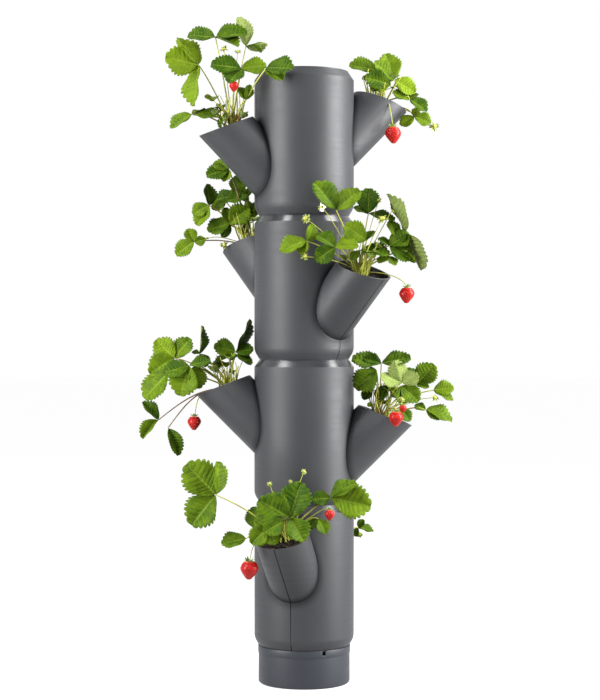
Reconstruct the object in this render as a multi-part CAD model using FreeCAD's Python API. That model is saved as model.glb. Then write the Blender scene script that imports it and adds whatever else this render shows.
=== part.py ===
"""A vertical planter tower for strawberries, in millimetres, +Z up.

Four alike storeys stand on a water cup and swivel on each other. Each storey is two half shells that
close with a tongue and groove on the plane through its two planting pockets. A spigot under every
storey turns in the bore of whatever carries it, and a bead on the spigot keeps the two together.
A strawberry plant grows in each pocket. The origin is on the tower's axis, on the flat underside of
the cup.
"""
import FreeCAD
import Part
import math
import os

# Storeys, from the bottom up: the azimuth of each one's low pocket, from -Y towards +X
storey_turns = {"bottom": 164.5, "lower": 88.0, "upper": 45.0, "top": -72.0}
storey_pitch = 250.0
body_diameter = 174.0
wall = 3.0
foot_inset = 9.0
foot_cone_height = 15.0
shoulder_height = 13.0
shoulder_inset = 9.0

# Swivel between two storeys
bore_inset = 14.0
spigot_clearance = 0.4
spigot_depth = 9.0
bead_height = 1.6
bead_gap = 0.4

# Seam between the half shells
seam_gap = 0.3
tongue_thickness = 1.2
tongue_reach = 2.0
groove_clearance = 0.2

# Planting pockets
pocket_diameter = 91.0
pocket_slope = 45.0
low_pocket_height = 33.5
high_pocket_rise = 52.0
pocket_overhang = 101.5
mouth_tilt = 21.0

# Floor grid in each storey
floor_thickness = 3.0
floor_clearance = 0.8
drain_slots = 6
drain_slot_width = 4.0
drain_slot_start = 18.0
drain_slot_length = 42.0

# Soil
soil_clearance = 0.3
soil_top_gap = 24.0
soil_below_mouth = 9.0
soil_sides = 16

# Water cup
cup_height = 64.0
cup_rim_inset = 6.5
cup_band_step = 0.8
cup_bottom_bevel = 3.0
cup_rim_rise = 2.0
cup_band_height = 13.0
cup_seat_clearance = 0.4
overflow_azimuth = 25.0
overflow_width = 6.0
overflow_depth = 8.0

# Lid
lid_overhang = 0.4
lid_thickness = 1.6
lid_skirt_depth = 8.0
lid_dish_inset = 29.0
lid_dish_depth = 7.0
lid_grip_width = 14.0
lid_slots = 6
lid_slot_width = 5.0
lid_slot_start = 28.0
lid_slot_length = 18.0

# Strawberry plants
leaf_thickness = 1.0
leaf_fold_angle = 18.0
leaflet_spread_angle = 78.0
leaflet_shoulder_share = 0.55
leaflet_width_share = 0.72
stalk_thickness = 3.0
stalk_bow = 8.0
stalk_rim_clearance = 5.0
crown_setback = 10.0
crown_diameter = 22.0
crown_height = 9.0
berry_sides = 8
berry_rings = ((0.30, 0.0), (0.47, 0.18), (0.46, 0.5), (0.14, 1.08))

# Leaves, counted from the middle of a pocket's mouth: outwards, sideways and up to the point where the
# three leaflets meet; heading, pitch and roll of the middle leaflet; length of a leaflet
leaves = {
    ("bottom", "low"): (
        (30, -65, 40, 80, -25, -40, 26),
        (70, -30, 65, -25, 20, -20, 46),
        (35, 20, 85, 55, 40, -5, 50),
        (55, 65, 30, 55, -5, 10, 46),
    ),
    ("bottom", "high"): (
        (40, -100, 70, -75, 35, -80, 64),
        (30, -45, 5, -70, -10, -45, 44),
        (10, 15, 30, 85, 70, 105, 54),
        (35, -15, 20, 15, -25, 0, 30),
        (-30, 80, 55, 100, -10, 65, 64),
        (-15, 50, 80, 110, 20, 25, 55),
    ),
    ("lower", "low"): (
        (-20, -20, 60, -165, -20, -65, 34),
        (-10, 10, 95, 10, 10, 20, 46),
        (-15, -30, 85, -165, 20, -30, 42),
        (25, -15, 55, 135, 80, -45, 45),
        (50, 5, 65, 0, 30, 65, 45),
        (30, -25, 50, -20, -30, 55, 34),
        (90, 5, 35, 0, 20, 30, 34),
        (70, -10, 15, 0, -20, 40, 36),
    ),
    ("lower", "high"): (
        (80, 15, 40, 10, 40, -90, 58),
        (35, 25, 30, 20, -25, -55, 46),
        (40, -10, 55, -145, 80, -20, 50),
        (-10, -25, 55, -165, 60, 55, 50),
        (105, 0, -60, 5, -20, -70, 50),
    ),
    ("upper", "low"): (
        (-30, -40, 100, 35, 50, 85, 56),
        (5, 5, 95, -180, 80, -45, 46),
        (-15, -40, 45, 45, 30, 70, 48),
        (-15, -50, 35, -115, -20, -50, 40),
        (-45, -90, 35, -130, 5, -60, 46),
        (15, 5, 35, -25, -10, 5, 36),
        (35, 30, 40, 35, -5, 50, 36),
        (50, 55, 70, 125, 5, 65, 60),
    ),
    ("upper", "high"): (
        (10, 40, 130, 45, 5, -45, 42),
        (25, 70, 65, 45, -5, -75, 34),
        (15, 15, 90, -135, 85, 90, 38),
        (15, 35, 55, -145, 15, 70, 38),
        (0, 40, 35, 50, -5, -55, 42),
        (40, 95, 10, 45, -30, -75, 32),
    ),
    ("top", "low"): (
        (45, -5, 105, -20, 5, -75, 62),
        (15, -5, 150, 100, -10, 15, 52),
        (-40, -5, 140, -95, 65, 155, 60),
        (-20, 25, 95, 65, -40, -5, 52),
        (-55, 75, 95, 145, -5, 30, 45),
        (-25, 35, 40, 115, 75, 145, 30),
        (45, -25, 20, -10, -15, -20, 40),
    ),
    ("top", "high"): (
        (25, -10, 45, 80, 70, -10, 48),
        (0, 15, 55, 150, 15, -10, 48),
        (50, -15, 10, -20, -25, 40, 30),
        (45, -35, -25, -30, -20, 65, 26),
        (5, -10, 20, -170, 45, -85, 28),
    ),
}

# Berries, counted in the same way: outwards, sideways and up to the top of a berry, and its diameter
berries = {
    ("bottom", "high"): ((25, -45, -40, 30), (-40, 70, 45, 17)),
    ("lower", "low"): ((15, -62, 10, 28), (30, -30, 20, 16)),
    ("lower", "high"): ((50, 5, -55, 25),),
    ("upper", "low"): ((50, 50, -30, 27),),
    ("top", "low"): ((-5, 35, 75, 17),),
    ("top", "high"): ((0, -60, -45, 28),),
}

body_radius = body_diameter / 2
foot_radius = body_radius - foot_inset
bore_radius = body_radius - bore_inset
spigot_radius = bore_radius - spigot_clearance
shoulder_top_radius = body_radius - shoulder_inset
pocket_radius = pocket_diameter / 2
AXIS = FreeCAD.Vector(0, 0, 1)
ORIGIN = FreeCAD.Vector(0, 0, 0)
pocket_reach = body_radius + pocket_overhang
FAR = 2 * (pocket_reach + storey_pitch)


def turned(corners):
    """The solid of revolution of a closed outline of (radius, height) corners about the tower's axis."""
    points = [FreeCAD.Vector(radius, 0, height) for radius, height in corners]
    return facet(points).revolve(ORIGIN, AXIS, 360)


def slab(low, high):
    """A block from one corner to the other."""
    size = FreeCAD.Vector(*high) - FreeCAD.Vector(*low)
    return Part.makeBox(size.x, size.y, size.z, FreeCAD.Vector(*low))


def ring(sides, radius, centre, normal):
    """The corners of a regular polygon square to a direction."""
    across = normal.cross(FreeCAD.Vector(1, 0, 0)).normalize() * radius
    return [centre + FreeCAD.Rotation(normal, 360 * (i + 0.5) / sides).multVec(across) for i in range(sides)]


def facet(points):
    """A flat face through its corners."""
    return Part.Face(Part.makePolygon(points + points[:1]))


def faceted(rings):
    """A solid of flat faces through a row of rings that have as many corners each."""
    faces = [facet(rings[0]), facet(rings[-1])]
    for low, high in zip(rings, rings[1:]):
        for i in range(len(low)):
            faces.append(facet([low[i - 1], low[i], high[i], high[i - 1]]))
    skin = Part.makeCompound(faces)
    skin.sewShape()
    solid = Part.makeSolid(skin.Shells[0])
    if solid.Volume < 0:
        solid.reverse()
    return solid


def foot_cone_inside(height):
    """The inner radius of the foot cone at a height."""
    slant = math.hypot(foot_inset, foot_cone_height)
    return foot_radius + (foot_inset * height - wall * slant) / foot_cone_height


def storey_outside():
    """The closed outer form of a storey without its pockets, spigot included."""
    bead_top = -wall - bead_gap - (bead_height - spigot_clearance)
    return turned([
        (0, -spigot_depth),
        (spigot_radius - bead_height, -spigot_depth),
        (spigot_radius + bead_height, bead_top),
        (spigot_radius, bead_top),
        (spigot_radius, 0),
        (foot_radius, 0),
        (body_radius, foot_cone_height),
        (body_radius, storey_pitch - shoulder_height),
        (shoulder_top_radius, storey_pitch),
        (0, storey_pitch),
    ])


def storey_inside():
    """The hollow of a storey without its pockets, open at the spigot and at the bore."""
    inner_radius = body_radius - wall
    cone_slope = foot_inset / foot_cone_height
    cone_top = wall + (inner_radius - foot_cone_inside(wall)) / cone_slope
    ledge_under = storey_pitch - wall
    return turned([
        (0, -spigot_depth - wall),
        (spigot_radius - wall, -spigot_depth - wall),
        (spigot_radius - wall, wall),
        (foot_cone_inside(wall), wall),
        (inner_radius, cone_top),
        (inner_radius, ledge_under - (inner_radius - bore_radius)),
        (bore_radius, ledge_under),
        (bore_radius, storey_pitch + wall),
        (0, storey_pitch + wall),
    ])


def tip_height(rise):
    """The height of a pocket's outermost point."""
    return low_pocket_height + rise + pocket_overhang * math.tan(math.radians(pocket_slope))


def tube_line(rise):
    """The start, direction and length of a pocket's centre line, towards -Y."""
    slope = math.radians(pocket_slope)
    along = FreeCAD.Vector(0, -math.cos(slope), math.sin(slope))
    across = FreeCAD.Vector(0, math.sin(slope), math.cos(slope))
    crossing = FreeCAD.Vector(0, -body_radius, low_pocket_height + rise)
    start = crossing + across * pocket_radius - along * (4 * wall)
    length = pocket_overhang / math.cos(slope) + 4 * wall + pocket_diameter
    return start, along, length


def pocket_tube(rise, radius):
    """A slanting cylinder whose outer wall leaves the body at the pocket's height."""
    start, along, length = tube_line(rise)
    return Part.makeCylinder(radius, length, start, along)


def above_mouth(rise, depth):
    """Everything above the tilted plane of a pocket's mouth, or above one sunk by a depth."""
    block = slab((-FAR, -FAR, -depth), (FAR, FAR, FAR))
    block.rotate(ORIGIN, FreeCAD.Vector(1, 0, 0), mouth_tilt)
    return block.translated(FreeCAD.Vector(0, -pocket_reach, tip_height(rise)))


def facing_back(shape):
    """The same shape turned to the opposite side of the storey."""
    return shape.rotated(ORIGIN, AXIS, 180)


def both_pockets(radius, depth):
    """Low pocket towards -Y and high pocket towards +Y, cut at their mouths."""
    low = pocket_tube(0, radius).cut(above_mouth(0, depth))
    high = pocket_tube(high_pocket_rise, radius).cut(above_mouth(high_pocket_rise, depth))
    return low, facing_back(high)


def pocket_bores(radius):
    """The hollows of the two pockets, running on past their mouths."""
    return pocket_tube(0, radius), facing_back(pocket_tube(high_pocket_rise, radius))


def whole_shell():
    """Both half shells of a storey as one piece, before the seam is cut."""
    outside = storey_outside()
    for pocket in both_pockets(pocket_radius, 0):
        outside = outside.fuse(pocket)
    inside = storey_inside()
    for bore in pocket_bores(pocket_radius - wall):
        inside = inside.fuse(bore)
    return outside.cut(inside)


def seam_key(thickness, reach):
    """The middle layer of the wall, near the seam: the tongue, or the groove that takes it."""
    skin = (wall - thickness) / 2
    high_end = storey_pitch - shoulder_height - wall
    height = high_end - foot_cone_height
    outside = Part.makeCylinder(body_radius - skin, height, FreeCAD.Vector(0, 0, foot_cone_height))
    for pocket in both_pockets(pocket_radius - skin, 2 * wall):
        outside = outside.fuse(pocket)
    inside = Part.makeCylinder(body_radius - wall + skin, storey_pitch)
    for bore in pocket_bores(pocket_radius - wall + skin):
        inside = inside.fuse(bore)
    band = slab((-reach, -FAR, foot_cone_height), (reach, FAR, high_end))
    return outside.cut(inside).common(band)


def half_shells():
    """The left half with its tongue and the right half with its groove."""
    shell = whole_shell()
    left = shell.common(slab((-FAR, -FAR, -FAR), (-seam_gap / 2, FAR, FAR)))
    right = shell.common(slab((seam_gap / 2, -FAR, -FAR), (FAR, FAR, FAR)))
    left = left.fuse(seam_key(tongue_thickness, tongue_reach))
    groove = seam_key(tongue_thickness + 2 * groove_clearance, tongue_reach + 2 * groove_clearance)
    return left.removeSplitter(), right.cut(groove)


def floor_grid():
    """The slotted disc that holds a storey's soil and lets the water through."""
    radius = foot_cone_inside(wall) - floor_clearance
    disc = Part.makeCylinder(radius, floor_thickness, FreeCAD.Vector(0, 0, wall))
    half_width = drain_slot_width / 2
    slot = slab((drain_slot_start, -half_width, 0), (drain_slot_start + drain_slot_length, half_width, FAR))
    for i in range(drain_slots):
        disc = disc.cut(slot.rotated(ORIGIN, AXIS, 360 * i / drain_slots))
    return disc


def soil():
    """The fill of a storey: its column on the floor grid and its two pockets."""
    floor_top = wall + floor_thickness
    radius = body_radius - wall - soil_clearance
    levels = (
        (foot_cone_inside(floor_top) - soil_clearance, floor_top),
        (radius, foot_cone_height + wall),
        (radius, storey_pitch - soil_top_gap),
    )
    fill = faceted([ring(soil_sides, size, AXIS * height, AXIS) for size, height in levels])
    for rise, turn in ((0, 0), (high_pocket_rise, 180)):
        start, along, length = tube_line(rise)
        section = facet(ring(soil_sides, pocket_radius - wall - soil_clearance, start, along))
        pocket = section.extrude(along * length).cut(above_mouth(rise, soil_below_mouth))
        fill = fill.fuse(pocket.rotated(ORIGIN, AXIS, turn))
    return fill.removeSplitter()


def water_cup():
    """The cup that the tower stands on, with the bore that takes the bottom storey's spigot."""
    rim_radius = body_radius - cup_rim_inset
    rim_top = cup_height + cup_rim_rise
    band_low = rim_top - cup_band_height
    seat_low = foot_radius + cup_seat_clearance
    seat_high = seat_low + cup_rim_rise * foot_inset / foot_cone_height
    cup_radius = rim_radius - cup_band_step
    outside = turned([
        (0, 0),
        (cup_radius - cup_bottom_bevel, 0),
        (cup_radius, cup_bottom_bevel),
        (cup_radius, band_low),
        (rim_radius, band_low),
        (rim_radius, rim_top),
        (seat_high, rim_top),
        (seat_low, cup_height),
        (0, cup_height),
    ])
    inside = turned([
        (0, wall),
        (cup_radius - wall, wall),
        (cup_radius - wall, cup_height - 2 * wall),
        (bore_radius, cup_height - wall),
        (bore_radius, cup_height + wall),
        (0, cup_height + wall),
    ])
    notch = slab((-overflow_width / 2, -FAR, rim_top - overflow_depth),
                 (overflow_width / 2, -(foot_radius - 1.5 * wall), FAR))
    return outside.cut(inside).cut(notch.rotated(ORIGIN, AXIS, overflow_azimuth))


def lid():
    """The lift-off lid: a flat flange on the top storey, a skirt in its bore and a dish with a grip."""
    dish_radius = body_radius - lid_dish_inset
    skirt = spigot_radius - wall
    flange = shoulder_top_radius - lid_overhang
    under_plate = lid_thickness - wall
    dish_top = wall - lid_dish_depth
    plate = turned([
        (0, -lid_dish_depth),
        (dish_radius, -lid_dish_depth),
        (dish_radius + wall, under_plate),
        (skirt, under_plate),
        (skirt, -lid_skirt_depth),
        (spigot_radius, -lid_skirt_depth),
        (spigot_radius, 0),
        (flange, 0),
        (flange, lid_thickness),
        (dish_radius, lid_thickness),
        (dish_radius - wall, dish_top),
        (0, dish_top),
    ])
    half_grip = lid_grip_width / 2
    reach = dish_radius - wall / 2
    plate = plate.fuse(slab((-half_grip, -reach, -lid_dish_depth), (half_grip, reach, lid_thickness)))
    half_width = lid_slot_width / 2
    slot = slab((lid_slot_start, -half_width, -FAR), (lid_slot_start + lid_slot_length, half_width, FAR))
    for i in range(lid_slots):
        plate = plate.cut(slot.rotated(ORIGIN, AXIS, 360 * i / lid_slots))
    return plate.removeSplitter()


def mouth_centre(rise):
    """The middle of the low pocket's mouth, raised by a rise."""
    tilt = math.radians(mouth_tilt)
    half_length = pocket_radius / math.cos(math.radians(90 - pocket_slope - mouth_tilt))
    return FreeCAD.Vector(0, half_length * math.cos(tilt) - pocket_reach,
                          tip_height(rise) + half_length * math.sin(tilt))


def in_pocket(out, side, up):
    """A vector that is given outwards, sideways and up from a pocket that faces -Y."""
    return FreeCAD.Vector(side, -out, up)


def leaf(meeting, heading, pitch, roll, length):
    """The six folded half blades of one leaf, round the point where its leaflets meet."""
    turn = FreeCAD.Rotation(AXIS, heading) * FreeCAD.Rotation(FreeCAD.Vector(1, 0, 0), -pitch)
    turn = turn * FreeCAD.Rotation(in_pocket(1, 0, 0), roll)
    half_width = leaflet_width_share / 2
    rise = half_width * math.tan(math.radians(leaf_fold_angle))
    blades = []
    for spread in (-leaflet_spread_angle, 0, leaflet_spread_angle):
        aim = turn * FreeCAD.Rotation(AXIS, spread)
        for hand in (-1, 1):
            shoulder = in_pocket(leaflet_shoulder_share, hand * half_width, rise)
            corners = [in_pocket(0, 0, 0), shoulder, in_pocket(1, 0, 0)]
            points = [meeting + aim.multVec(corner * length - AXIS * (leaf_thickness / 2)) for corner in corners]
            blades.append(facet(points).extrude(aim.multVec(AXIS * leaf_thickness)))
    return blades


def stalk(root, end):
    """A three-sided stalk from the crown over the pocket's rim, or bowed where it stays inside."""
    run = FreeCAD.Vector(end.x - root.x, end.y - root.y, 0)
    rim = pocket_radius + stalk_thickness
    along = root.dot(run) / run.Length
    crossing = math.sqrt(along ** 2 + rim ** 2 - root.x ** 2 - root.y ** 2) - along
    share = crossing / run.Length if crossing < run.Length else 0.5
    middle = root + (end - root) * share + AXIS * stalk_bow
    rim_height = middle.y * math.tan(math.radians(mouth_tilt)) + stalk_rim_clearance
    middle.z = max(middle.z, rim_height)
    rising = (middle - root).normalize()
    reaching = (end - middle).normalize()
    mitre = (rising + reaching).normalize()
    first = ring(3, stalk_thickness / math.sqrt(3), root, rising)
    second = [point + rising * ((middle - point).dot(mitre) / rising.dot(mitre)) for point in first]
    tip = end + reaching * (stalk_thickness / 2)
    third = [point + reaching * (tip - point).dot(reaching) for point in second]
    return faceted([first, second, third])


def crown(base):
    """The short stock on the soil that every stalk of a plant comes out of."""
    return faceted([
        ring(berry_sides, crown_diameter / 2, base - AXIS * crown_height, AXIS),
        ring(berry_sides, crown_diameter / 2, base, AXIS),
        ring(berry_sides, crown_diameter / 4, base + AXIS * crown_height, AXIS),
    ])


def plant(rise, leaf_rows, berry_rows):
    """One plant and its berries, in a pocket that faces -Y."""
    centre = mouth_centre(rise)
    base = in_pocket(-crown_setback, 0, -soil_below_mouth)
    root = base + AXIS * (crown_height - stalk_thickness)
    pieces = []
    fruit = []
    for out, side, up, heading, pitch, roll, length in leaf_rows:
        meeting = in_pocket(out, side, up)
        pieces += leaf(meeting, heading, pitch, roll, length)
        pieces.append(stalk(root, meeting))
    for out, side, up, size in berry_rows:
        top = in_pocket(out, side, up)
        pieces.append(stalk(root, top - AXIS * leaf_thickness))
        rings = [ring(berry_sides, size * width, top - AXIS * (size * drop), AXIS) for width, drop in berry_rings]
        fruit.append(faceted(rings))
    stock = crown(base).translated(centre).common(above_mouth(rise, soil_below_mouth))
    whole = stock.multiFuse([piece.translated(centre) for piece in pieces])
    return whole, [berry.translated(centre).cut(whole) for berry in fruit]


def save(name, shape, azimuth=0.0, height=0.0):
    """Write one sub-part to its own file, turned about the axis and lifted to its place."""
    shape.rotated(ORIGIN, AXIS, azimuth).translated(AXIS * height).exportStep(f"parts/{name}.step")


def main():
    os.makedirs("parts", exist_ok=True)
    save("water_cup", water_cup())
    left, right = half_shells()
    alike = {"left_half_shell": left, "right_half_shell": right, "floor_grid": floor_grid(), "soil": soil()}
    height = cup_height
    for storey, azimuth in storey_turns.items():
        for name, shape in alike.items():
            save(f"{storey}_{name}", shape, azimuth, height)
        for pocket, rise, turn in (("low", 0, 0), ("high", high_pocket_rise, 180)):
            place = (storey, pocket)
            growth, fruit = plant(rise, leaves[place], berries.get(place, ()))
            save(f"{storey}_{pocket}_plant", growth, azimuth + turn, height)
            if fruit:
                save(f"{storey}_{pocket}_berries", Part.makeCompound(fruit), azimuth + turn, height)
        height += storey_pitch
    save("lid", lid(), 0.0, height)


main()
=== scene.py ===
"""The planter tower dressed for a picture: moulded plastic shells, soil, strawberry plants and fruit."""

import math
import random

import bmesh
import bpy
from mathutils import Matrix, Vector, noise


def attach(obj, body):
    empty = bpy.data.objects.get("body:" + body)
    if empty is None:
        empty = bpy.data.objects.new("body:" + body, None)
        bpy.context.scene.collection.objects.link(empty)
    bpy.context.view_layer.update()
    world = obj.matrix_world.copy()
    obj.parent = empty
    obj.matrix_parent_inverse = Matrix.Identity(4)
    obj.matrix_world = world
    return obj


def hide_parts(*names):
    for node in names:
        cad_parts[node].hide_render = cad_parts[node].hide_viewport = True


bl_info = {
    "name": "Planter Tower",
    "version": (1, 0, 0),
    "blender": (4, 5, 0),
    "location": "3D View > Sidebar > Planter",
    "description": "Dresses the planter tower with its plastic, soil, plants and fruit",
    "category": "Object",
}

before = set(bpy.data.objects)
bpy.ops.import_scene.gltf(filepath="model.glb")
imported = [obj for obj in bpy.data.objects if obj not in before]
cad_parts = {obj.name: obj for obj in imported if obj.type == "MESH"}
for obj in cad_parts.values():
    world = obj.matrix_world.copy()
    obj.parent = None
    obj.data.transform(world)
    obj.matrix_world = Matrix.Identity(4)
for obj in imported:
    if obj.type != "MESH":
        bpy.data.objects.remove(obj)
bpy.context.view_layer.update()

MM = 0.001  # in metres
# The tower's own sizes, in millimetres as in the CAD model. A storey's heights are taken from its foot.
BODY_RADIUS = 87.0
WALL = 3.0
PITCH = 250
SHOULDER_UP = 237
LINES_UP = (18.5, 216.0, 226.0)
LINE_REACH = 0.9
FOOT_TURN = 15.0
FOOT_INSET = 9.0
# Each storey: how far it is turned from -Y towards +X, in degrees, and the height of its foot.
STOREYS = {"bottom": (164.5, 64), "lower": (88.0, 314), "upper": (45.0, 564), "top": (-72.0, 814)}
# A storey's two pockets: the middles of their mouths, out from the axis and up, how far the plane of a mouth
# rises for each millimetre inwards, and how far the soil lies from it.
POCKETS = ("low", "high")
POCKET_RADIUS = 45.5
MOUTH_OUT = 142.0
MOUTH_UP = {"low": 152.8, "high": 204.8}
MOUTH_SLOPE = 0.384
SOIL_UP = -9.64
# A pocket's axis in its storey's own millimetres, where the pocket faces -Y: its direction, and a point of it
# for the low and the high pocket.
POCKET_HEIGHTS = (33.5, 85.5)
POCKET_ALONG = Vector((0, -1, 1)).normalized()
POCKET_STARTS = [Vector((0, -BODY_RADIUS, height)) + Vector((0, 1, 1)).normalized() * POCKET_RADIUS
                 for height in POCKET_HEIGHTS]

# How near a point has to be to a surface to count as on it, and what makes an edge worth rounding: the least
# angle between its faces, in degrees, and its least length. Lengths are in millimetres.
ON_WALL = 0.1
ON_FOOT = 0.5
ON_SEAM = 0.2
ON_POCKET = 0.15
ON_CONE = 1.2
CONE_TOP = FOOT_TURN + 4
RIM_EDGE = 0.05
RIM_FACE = 0.7
RIM_REACH = 60
SEAM_ANGLE = 60
SEAM_LENGTH = 2
SEAM_LENGTH_ON_CONE = 0.7
RIM_ANGLE = 40
RIM_LENGTH = 1.6
TURNED_ANGLE = 32
TURNED_LENGTH = 1.2
SMOOTH_ANGLE = 30
FLAT_ANGLE = 0.5
# Vertices that are nearer than this, in metres, are one.
WELD = 2e-6

# The middle of a noise's values: nearly all of them, and the busiest part.
WIDE = (0.3, 0.7)
NARROW = (0.35, 0.65)
# The crease where a pocket meets the body: its dark line and the shade beside it, both painted shade in the
# colour, and its dip in steps of the grain. Each goes from the first distance to the second, in millimetres,
# and from one amount to the other.
CREASE_PAINTED_LINE = (0.2, 1.5, 0.75, 0.0)
CREASE_PAINTED_SHADE = (0.0, 11.0, 0.5, 0.0)
CREASE_DIP = (0.0, 2.2, -7.0, 0.0)

# A leaflet's form: rows of the grid to a tooth and columns across, its fold along the midrib in degrees, its
# droop, twist and sideways bend, and its width, as shares of its length, and how its tone may change.
TOOTH_ROWS = 4
LEAFLET_COLUMNS = 10
LEAFLET_FOLD = (12, 30)
LEAFLET_DROOP = (0.02, 0.2)
LEAFLET_TWIST = 0.1
LEAFLET_BEND = 0.06
LEAFLET_WIDTH = (0.45, 0.52)
TONE_CHANGE = 0.06
# Where the teeth begin along a leaflet, how deep they cut and how far they point forwards.
TEETH_START = 0.12
TOOTH_DEPTH = 0.15
TOOTH_POINT = 0.045
# A wilted leaflet folds by so many degrees more, and shows so much of its width.
WILT_FOLD = 34.0
WILT_WIDTH = 0.62

# Young leaves near the crown: how far out and up they stand and how long their leaflets are, in millimetres,
# their pitch, and the headings of their leaflets, in degrees.
SHOOT_REACH = (8, 30)
SHOOT_UP = (12, 44)
SHOOT_LENGTH = (11, 19)
SHOOT_PITCH = (15, 60)
SHOOT_SPREAD = (-75, 0, 75)

# Where the stalks rise from the crown in the pocket and how far they clear its wall, in millimetres, and how
# thick each kind is, as a share of a leaf's stalk.
CROWN_OUT = -10
STALK_CLEAR = 3
SHOOT_STALK = 0.6
FLOWER_STALK = 0.6
BERRY_STALK = 0.7
WISP_STALK = (0.6, 0.95)
# The thin bare stalks stand in a ring and rise so far, and lumps fill the crown, in millimetres.
WISP_RING = 14
WISP_RISE = (20, 62)
CROWN_LUMPS = 7
CROWN_RING = 5
CROWN_LUMP = (7, 7, 12)

# A berry's form, as shares of its diameter: its height, its seeds and the dimples that they sit in.
BERRY_HEIGHT = 1.08
SEED_SIZE = (0.018, 0.026, 0.04)
SEED_SUNK = 0.008
DIMPLE_DEPTH = 0.012
DIMPLE_REACH = 0.05
GOLDEN_ANGLE = 2.39996
# A flower's sepals and petals, and the sizes of a petal and of its middle, as shares of its width.
CALYX_LEAVES = 10
PETALS = 5
PETAL_SIZE = (0.62, 0.5)
MIDDLE_SIZE = (0.34, 0.34, 0.3)

# Every ninth crumb of the soil is a chip of bark, longer than the rest. None lies at the pocket's very wall.
CHIP_EVERY = 9
CHIP_LENGTH = 2.2
CRUMB_MARGIN = 4.5

# The stage: the floor's disc, just under the cup, and the camera that matches the photo, in metres, and its
# shift, which is 5 pixels of the picture's 700.
FLOOR_RADIUS = 30
FLOOR_UP = -0.0003
UPPER_AIM = (0, 0, 0.85)
MIDDLE_AIM = (0, 0, 0.62)
FRONT_AIM = (0, 0, 0.95)
CAMERA_PLACE = (-0.0072, -3.14, 0.589)
CAMERA_LENS = 92.24
CAMERA_SHIFT = -5 / 700
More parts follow.
